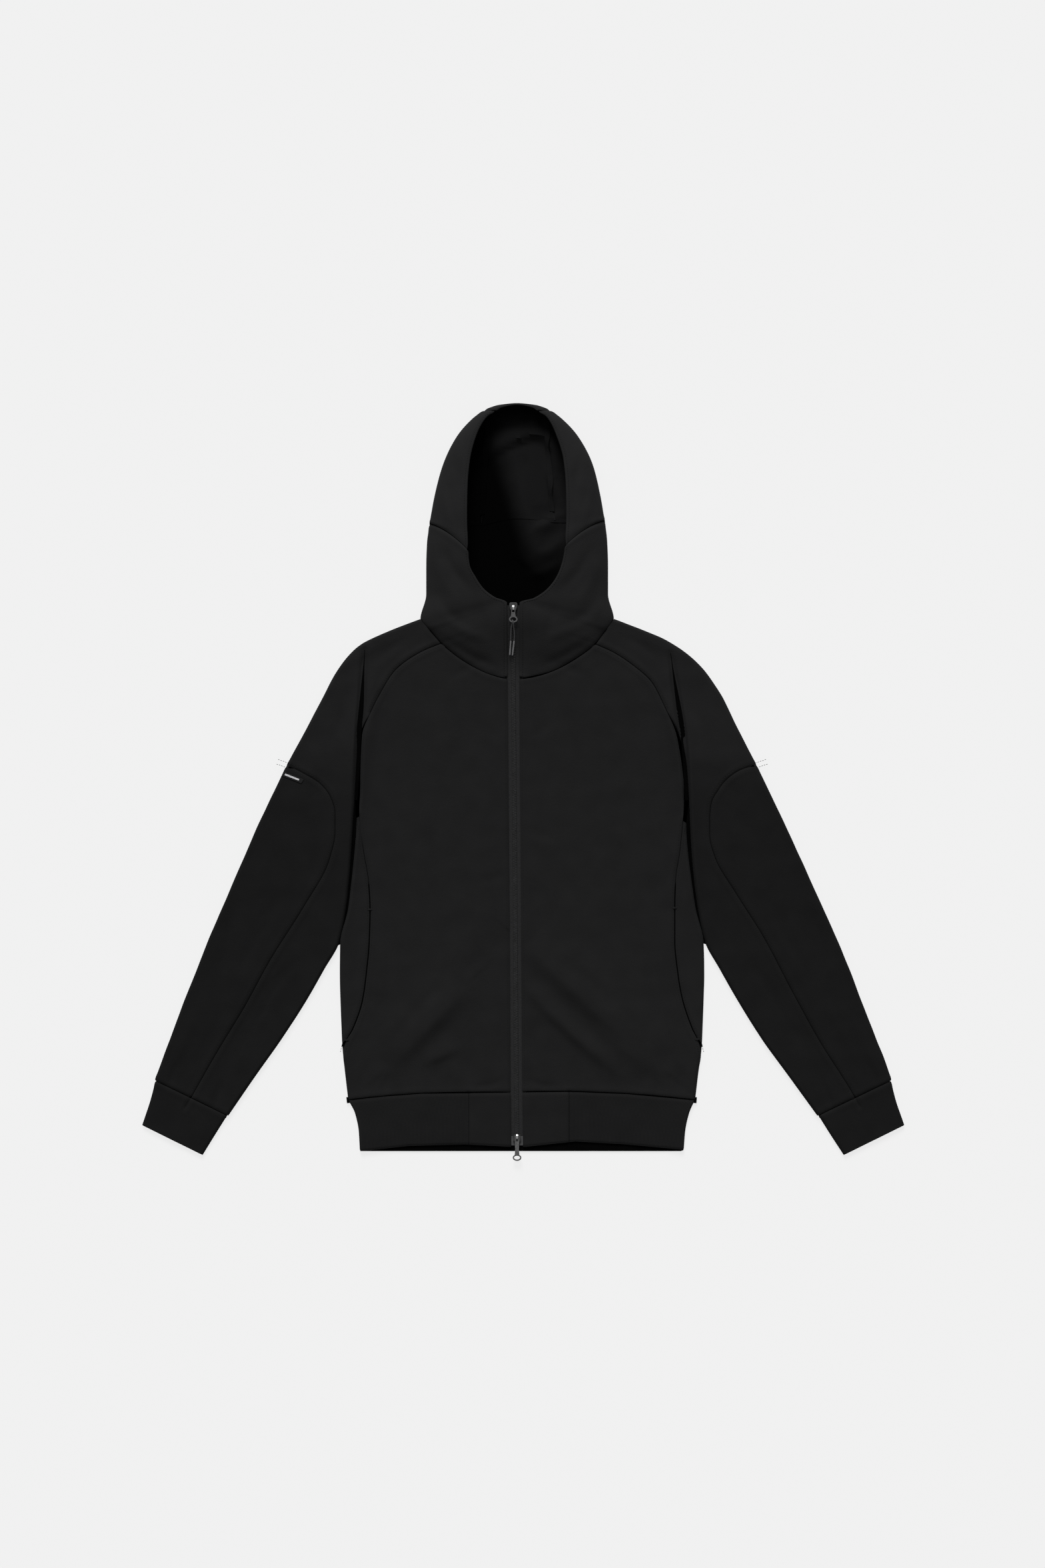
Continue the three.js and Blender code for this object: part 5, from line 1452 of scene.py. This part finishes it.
def make_collar_back():
    """The cloth inside the neck, on the floor, with the folds that show through the face opening."""
    edges = [points_of([row for row in COLLAR[side] if row[5]], COLLAR_COLUMNS, "outline") for side in SIDES]
    edges = [np.vstack([edge, end]) for edge, end in zip(edges, (NAPE[0], NAPE[-1]))]
    fine = [curve_through(length_along(edge), edge, np.linspace(0, length_along(edge)[-1], 64)) for edge in edges]
    strip = [(row[4], row[5]) for row in HOOD_STRIP]
    top_line = [tuple(edges[0][0]), *strip, tuple(edges[1][0])]
    grid = floor_grid(*fine, count=72, last=NAPE)
    share = (1 - np.linspace(0, 1, len(grid)))[:, None] ** 2
    xs, ys = zip(*top_line)
    bent = np.interp(grid[..., 0], xs, ys) - grid[:1, :, 1].mean()
    grid[..., 1] += share * bent
    grid[..., 2] += inside_lift(grid[..., 0], grid[..., 1])
    add_cloth("collar_back_cloth", "collar_back", [grid], [HOOD_IN_PAINTED_SHADE, CLOTH_OUT], closed_below=False)


# Zip: two woven tapes, each with its half of the coil, and a stiff patch at the foot.
COIL_PITCH = 1.45
COIL_REACH = 2.75
COIL_THICK = 0.62
PATCH_TOP_Y = -467
PATCH_BOTTOM_Y = -479


def zip_line_points(pitch):
    ys = np.arange(ZIP_BOTTOM_Y, ZIP_TOP_Y - 1, pitch)
    return np.column_stack([zip_x(ys), ys, zip_tape_at(ys)])


def bead(centre, half_x, half_y, half_z, sides=6):
    """A small long bead across the zip: three rings and two tips."""
    points, faces = [], []
    rings = ((-0.75, 0.7), (0, 1), (0.75, 0.7))
    for x, size in rings:
        for k in range(sides):
            angle = 2 * math.pi * k / sides
            points.append((x * half_x, size * half_y * math.cos(angle), size * half_z * math.sin(angle)))
    points += [(-half_x, 0, 0), (half_x, 0, 0)]
    for ring in range(2):
        for k in range(sides):
            a, b = ring * sides + k, ring * sides + (k + 1) % sides
            faces.append((a, a + sides, b + sides, b))
    for k in range(sides):
        following = (k + 1) % sides
        faces.append((3 * sides, k, following))
        faces.append((3 * sides + 1, 2 * sides + following, 2 * sides + k))
    return np.array(points) + centre, faces


def collected(parts):
    points, faces = [], []
    start = 0
    for part_points, part_faces in parts:
        points.append(part_points)
        faces += [tuple(k + start for k in face) for face in part_faces]
        start += len(part_points)
    return np.concatenate(points), faces


def make_zip(side):
    outward = OUTWARD[side]
    line = zip_line_points(4)
    offsets = np.array([0.25, 2.9, 4.0, 5.5, 7.0, 8.5, 10.0, 11.6, ZIP_TAPE_HALF])
    grid = np.stack([
        np.column_stack([line[:, 0] + outward * offset, line[:, 1], line[:, 2] + ZIP_TAPE]) for offset in offsets
    ], axis=1)
    points, faces, kinds = joined([wall_parts(grid, ZIP_TAPE, False)])
    tape = mesh_object(f"zip_{side}_tape", points, faces, [TAPE, TAPE], kinds)
    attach(tape, "garment")
    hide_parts(f"zip_{side}")
    teeth = []
    for k, (x, y, z) in enumerate(zip_line_points(COIL_PITCH)):
        shift = 0.5 * COIL_PITCH if side == "right" else 0
        centre = (x + outward * (COIL_REACH / 2 - 0.1), y + shift, z + ZIP_TAPE + COIL_THICK)
        teeth.append(bead(np.array(centre), COIL_REACH / 2 + 0.35, COIL_THICK, COIL_THICK))
    points, faces = collected(teeth)
    coil = mesh_object(f"zip_{side}_coil", points, faces, [COIL])
    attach(coil, "garment")
    ys = np.linspace(PATCH_TOP_Y, PATCH_BOTTOM_Y, 5)
    offsets = np.array([3.2, 4.5, 6.0, 7.5, 8.6])
    grid = np.stack([
        np.column_stack([zip_x(ys) + outward * offset, ys, zip_tape_at(ys) + ZIP_TAPE + 0.5]) for offset in offsets
    ], axis=1)
    points, faces, kinds = joined([wall_parts(grid, 0.45, False)])
    patch = mesh_object(f"zip_{side}_patch", points, faces, [PATCH, PATCH], kinds)
    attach(patch, "garment")


# Metal: the solids' own sliders and pulls, with their edges eased. The eased edges and the sliders' crowns are painted
# bright as painted highlights, and the slider bodies darker as painted shade.
def paint_crown_highlight(mesh):
    """Painted highlight: the faces on top of a slider's bridge get a bright copy of the nickel; its body below keeps a
    darker copy, as painted shade.
    """
    mesh.materials.append(STEEL_CROWN_HIGHLIGHT)
    heights = [v.co.z for v in mesh.vertices]
    level = min(heights) + CROWN_HIGHLIGHT_SHARE * (max(heights) - min(heights))
    for face in mesh.polygons:
        if all(mesh.vertices[k].co.z > level for k in face.vertices):
            face.material_index = 2


def finish_metal():
    for name in ("slider_top", "slider_bottom", "pull_top", "pull_bottom"):
        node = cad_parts[name]
        node.data.materials.clear()
        node.data.materials.append(STEEL if name.startswith("pull") else SLIDER_STEEL_SHADED)
        node.data.materials.append(STEEL_EDGE_HIGHLIGHT)
        if name.startswith("slider"):
            paint_crown_highlight(node.data)
        bevel = node.modifiers.new("eased_edges", "BEVEL")
        bevel.material = 1
        bevel.width = 0.22 * MM
        bevel.segments = 2
        bevel.limit_method = "ANGLE"
        bevel.angle_limit = math.radians(40)
    for name in ("tip_left", "tip_right"):
        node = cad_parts[name]
        node.data.materials.clear()
        node.data.materials.append(TIP)
        bevel = node.modifiers.new("rounded_ends", "BEVEL")
        bevel.width = 0.3 * MM
        bevel.segments = 3
        bevel.limit_method = "ANGLE"
        bevel.angle_limit = math.radians(50)
    pull_cord.data.materials.append(BRAID)


# Height share above which a slider's faces get the painted highlight.
CROWN_HIGHLIGHT_SHARE = 0.6

# Sewing: small raised stitches in rows beside the seams, and close ones in the bar tacks.
STITCH_LENGTH = 2.5
STITCH_PITCH = 3.3
STITCH_RADIUS = 0.3


def stitch(start, end, radius=STITCH_RADIUS):
    """One stitch: a slim body between two points, pointed where the thread goes in."""
    start, end = np.asarray(start, float), np.asarray(end, float)
    way = (end - start) / max(1e-6, np.linalg.norm(end - start))
    side = np.cross(way, (0, 0, 1))
    side /= max(1e-6, np.linalg.norm(side))
    up = np.cross(side, way)
    points = [start - up * 0.3, end - up * 0.3]
    middle = []
    for share in (0.25, 0.75):
        centre = start + (end - start) * share
        middle += [centre + radius * v for v in (side, up, -side, -up)]
    faces = []
    for k in range(4):
        following = (k + 1) % 4
        faces += [(0, 2 + following, 2 + k), (2 + k, 2 + following, 6 + following, 6 + k), (1, 6 + k, 6 + following)]
    return np.array(points + middle), faces


def offset_line(line, inset):
    """A line in plan moved sideways."""
    run = np.gradient(line, axis=0)
    run /= np.maximum(np.linalg.norm(run, axis=1, keepdims=True), 1e-9)
    return line + inset * np.column_stack([-run[:, 1], run[:, 0]])


def stitch_row(points):
    """Stitches along a row of points in space."""
    knots = length_along(points)
    starts = np.arange(0.6, knots[-1] - STITCH_LENGTH, STITCH_PITCH)
    at = lambda s: np.array([np.interp(s, knots, points[:, k]) for k in range(3)])
    return [stitch(at(s), at(s + STITCH_LENGTH)) for s in starts]


def row_on_cloth(line, lift=0.12):
    z = surface(line[:, 0], line[:, 1]) + lift
    return np.column_stack([line, z])


def add_stitches(name, parts, owner):
    points, faces = collected(parts)
    made = mesh_object(name, points, faces, [THREAD])
    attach(made, "garment")
    sewn_pieces.setdefault(owner, []).append(made)


# Seam allowances: narrow strips of cloth sewn under each seam, which close it from below. They are in the near-black
# inside cloth, painted shade where seams and folds gape.
ALLOWANCE_HALF = 4.0
ALLOWANCE_THICK = 0.7
ALLOWANCE_TOP = FRONT_FLOOR + ALLOWANCE_THICK + 0.1
INSIDE_TAPE_HALF = 2.6


def ribbon(line, half_width, heights, thickness=ALLOWANCE_THICK):
    """A strip of cloth along a line in plan, its upper face at the given heights."""
    across = np.linspace(-half_width, half_width, 5)
    grid = np.stack([np.column_stack([offset_line(line, inset), heights]) for inset in across], axis=1)
    return wall_parts(grid, thickness, False)


def trimmed(line, at_start, at_end):
    """A line without its first and last stretch, or longer there where a length is below 0."""
    knots = length_along(line)
    first = line[0] - (line[1] - line[0]) / knots[1] * max(0, -at_start)
    last = line[-1] + (line[-1] - line[-2]) / (knots[-1] - knots[-2]) * max(0, -at_end)
    inside = (knots >= at_start) & (knots <= knots[-1] - at_end)
    return np.vstack([[first] if at_start < 0 else np.zeros((0, 2)), line[inside],
                      [last] if at_end < 0 else np.zeros((0, 2))])


# A near-black strip laid in each armpit's deep fold, as painted shade: its half width, and where it sinks to the
# allowances.
SHADE_STRIP_HALF = 3.0
SHADE_STRIP_SINKS = (72, 30)
ALLOWANCE_ENDS = {"raglan": (-7, 0), "side": (-15, 5), "elbow": (19, 4), "cuff": (2.5, 0), "neck": (6, 0), "hem": (-2, -2)}


def crown_tapes(grid):
    """Narrow tapes inside the hood, behind the two seams beside its middle strip."""
    made = []
    normals = grid_normals(grid)
    for edge, inward in ((0, 1), (-1, -2)):
        across = grid[inward] - grid[edge]
        across /= np.maximum(np.linalg.norm(across, axis=1, keepdims=True), 1e-9)
        middle = grid[edge] - normals[edge] * (CLOTH + 0.3)
        tape = np.stack([middle + across * inset for inset in (-3.5, 0, 3.5)], axis=1)
        made.append(wall_parts(tape[2:-4], 0.5, False))
    return made


def add_allowances(strip_grid):
    parts = []
    for name, (line, _) in SEAMS.items():
        kind = name.rpartition("_")[0] or name
        if kind == "zip":
            continue
        line = trimmed(line, *ALLOWANCE_ENDS.get(kind, (3, 3)))
        parts.append(ribbon(line, ALLOWANCE_HALF, np.full(len(line), ALLOWANCE_TOP)))
    for side in SIDES:
        # Near-black strips under the gaps beside each armpit and down its deep fold: painted shade.
        closed = [row for row in SLEEVE[side] if ARMPIT_END_Y < row[3] < 100]
        line = fine_line(points_of(closed, SLEEVE_COLUMNS, "inner"), 5)
        parts.append(ribbon(line, ALLOWANCE_HALF + 1, np.full(len(line), ALLOWANCE_TOP)))
        seam = points_of(BODY[side], BODY_COLUMNS, "seam")
        line = fine_line(seam[4:FIRST_SIDE_ROW + 2], 4)
        parts.append(ribbon(line, ALLOWANCE_HALF + 1, np.full(len(line), ALLOWANCE_TOP)))
        shade_strip = fine_line(ARMPIT_FOLD[side][:6], 4)
        share = np.linspace(0, 1, len(shade_strip))
        half = (SHADE_STRIP_HALF * smooth(share / 0.45) + 0.3)[:, None]
        sunk = smooth((SHADE_STRIP_SINKS[0] - shade_strip[:, 1]) / (SHADE_STRIP_SINKS[0] - SHADE_STRIP_SINKS[1]))
        high = surface(shade_strip[:, 0], shade_strip[:, 1]) + 0.3
        parts.append(ribbon(shade_strip, half, high * (1 - sunk) + (ALLOWANCE_TOP + 0.3) * sunk))
    points, faces, kinds = joined(parts)
    made = mesh_object("seam_allowances", points, faces, [CLOTH_IN_PAINTED_SHADE, CLOTH_IN_PAINTED_SHADE], kinds)
    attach(made, "garment")
    feet = [(row[4], row[5]) for row in HOOD_STRIP]
    across = [tuple(COLLAR["left"][0][:2]), *feet, tuple(COLLAR["right"][0][:2])]
    lines = [np.array(across, float)]
    for side in SIDES:
        rows = points_of(HOOD_SIDE[side], HOOD_COLUMNS, "under")
        lines.append(rows)
    parts = []
    for line in lines:
        fine = fine_line(line, 3)
        lift = inside_lift(fine[:, 0], fine[:, 1])
        parts.append(ribbon(fine, INSIDE_TAPE_HALF, CLOTH + 0.5 + lift, 0.9))
    points, faces, kinds = joined(parts + crown_tapes(strip_grid))
    made = mesh_object("hood_inside_tapes", points, faces, [HOOD_IN_PAINTED_SHADE, HOOD_IN_PAINTED_SHADE], kinds)
    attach(made, "garment")


SEAM_OWNERS = {"raglan": "front", "side": "front", "elbow": "elbow", "zip": "front"}
HEM_Y = -410
TACK_WIDTH = 7.0
TACK_DEPTH = 1.6


def sew_seams():
    for name, (line, stitched) in SEAMS.items():
        kind, _, side = name.rpartition("_")
        if not stitched:
            continue
        insets = (-STITCH_INSET, STITCH_INSET)
        if kind == "zip":
            insets = (STITCH_INSET * (1 if side == "left" else -1) * -1,)
        parts = []
        for inset in insets:
            row = fine_line(offset_line(line, inset), 3)
            if kind == "zip":
                row = row[(row[:, 1] < NECK_Y - 3) & (row[:, 1] > HEM_Y)]
            parts += stitch_row(row_on_cloth(row))
        if kind == "side":
            parts += pocket_tacks(side)
        add_stitches(f"stitches_{name}", parts, f"{SEAM_OWNERS[kind]}_{side}_cloth")


def pocket_tacks(side):
    """A bar tack across the side seam at each end of the pocket mouth."""
    parts = []
    for _, x, y, _, _ in (BODY[side][k] for k in POCKET_ROWS[side]):
        for k in range(9):
            row_y = y + TACK_DEPTH * (k / 8 - 0.5)
            ends = np.array([[x - TACK_WIDTH / 2, row_y], [x + TACK_WIDTH / 2, row_y]])
            z = surface(ends[:, 0], ends[:, 1]).max() + 0.35
            parts.append(stitch((*ends[0], z), (*ends[1], z), 0.24))
    return parts


def sew_rim(name, grid, owner):
    """Stitches along the rim of the hood or collar, where the cloth is turned in."""
    row = []
    for section in grid:
        back = section[::-1]
        knots = length_along(back)
        row.append([np.interp(RIM_STITCH, knots, back[:, k]) for k in range(3)])
    row = np.array(row)
    row[:, 2] += 0.25
    add_stitches(name, stitch_row(row), owner)


# Sleeve label: a bare woven patch with a plain light bar.
LABEL_CORNERS = [((-315.2, 14), (-289.4, 3.6)), ((-318.2, 8), (-292.6, -1.6))]
LABEL_LIFT = 0.55


def label_grid(shares, places, lift):
    rows = []
    (a, b), (c, d) = [np.array(pair, float) for pair in LABEL_CORNERS]
    for share in shares:
        start, end = a + (c - a) * share, b + (d - b) * share
        plan = start + (end - start) * np.asarray(places)[:, None]
        base = plain_top(plan[:, 0], plan[:, 1])
        rows.append(np.column_stack([plan, base + lift]))
    return np.array(rows)


def make_label():
    grid = label_grid(np.linspace(0, 1, 8), np.linspace(0, 1, 22), LABEL_LIFT + 0.3)
    points, faces, kinds = joined([wall_parts(grid, 0.5, False)])
    patch = mesh_object("label_woven", points, faces, [LABEL, LABEL], kinds)
    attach(patch, "garment")
    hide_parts("label")
    grid = label_grid(np.linspace(0.3, 0.66, 4), np.linspace(0.1, 0.82, 12), LABEL_LIFT + 0.5)
    points, faces, kinds = joined([wall_parts(grid, 0.15, False)])
    bar = mesh_object("label_bar", points, faces, [LABEL_BAR, LABEL_BAR], kinds)
    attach(bar, "garment")


# Stage: a pale floor that glows a little, as a light table does, in soft light that comes mostly from beyond the hood.
FLOOR_SIZE = 40
FLOOR_GREY = 0.1
FLOOR_GLOW = 0.78
ROOM_LIGHT = 0.34
KEY_LIGHT = 3.4
KEY_FROM = (-0.3, 2.7, 1.9)


def add_sun(name, come_from, strength, spread_degrees):
    data = bpy.data.lights.new(name, "SUN")
    data.energy = strength
    data.angle = math.radians(spread_degrees)
    made = bpy.data.objects.new(name, data)
    made.location = come_from
    made.rotation_euler = (-Vector(come_from)).to_track_quat("-Z", "Y").to_euler()
    bpy.context.scene.collection.objects.link(made)


def add_stage():
    material, nodes, links, shader = new_material("floor_paper")
    tone = colour_between(nodes, links, grain(nodes, links, 3), grey(FLOOR_GREY, 1), grey(FLOOR_GREY * 1.005, 1))
    links.new(tone, shader.inputs["Base Color"])
    shader.inputs["Emission Color"].default_value = (1, 1, 1, 1)
    shader.inputs["Emission Strength"].default_value = FLOOR_GLOW
    shader.inputs["Roughness"].default_value = 0.9
    shader.inputs["Specular IOR Level"].default_value = 0.05
    half = FLOOR_SIZE / 2 / MM
    corners = [(-half, -half, -0.3), (half, -half, -0.3), (half, half, -0.3), (-half, half, -0.3)]
    floor = mesh_object("floor", corners, [(0, 1, 2, 3)], [material])
    floor.visible_diffuse = False
    floor.visible_glossy = False
    world = bpy.data.worlds.new("pale_room")
    world.use_nodes = True
    background = world.node_tree.nodes["Background"]
    background.inputs["Color"].default_value = (1, 1, 1, 1)
    background.inputs["Strength"].default_value = ROOM_LIGHT
    bpy.context.scene.world = world
    add_sun("key", KEY_FROM, KEY_LIGHT, 24)
    bpy.context.scene.view_settings.view_transform = "Standard"


add_stage()
finish_metal()
for each_side in SIDES:
    make_sleeve(each_side)
    make_cuff(each_side)
    make_front(each_side)
    make_side(each_side)
    make_zip(each_side)
make_back()
make_hem()
rims = {f"hood_{each_side}": make_hood_side(each_side) for each_side in SIDES}
rims["hood_strip"] = make_hood_strip()
for each_side in SIDES:
    rims[f"collar_{each_side}"] = make_collar(each_side)
make_collar_back()
make_label()
add_allowances(rims["hood_strip"])
sew_seams()
for rim_name, rim_grid in rims.items():
    if rim_name != "hood_strip":
        sew_rim(f"stitches_{rim_name}", rim_grid, f"{rim_name}_cloth")
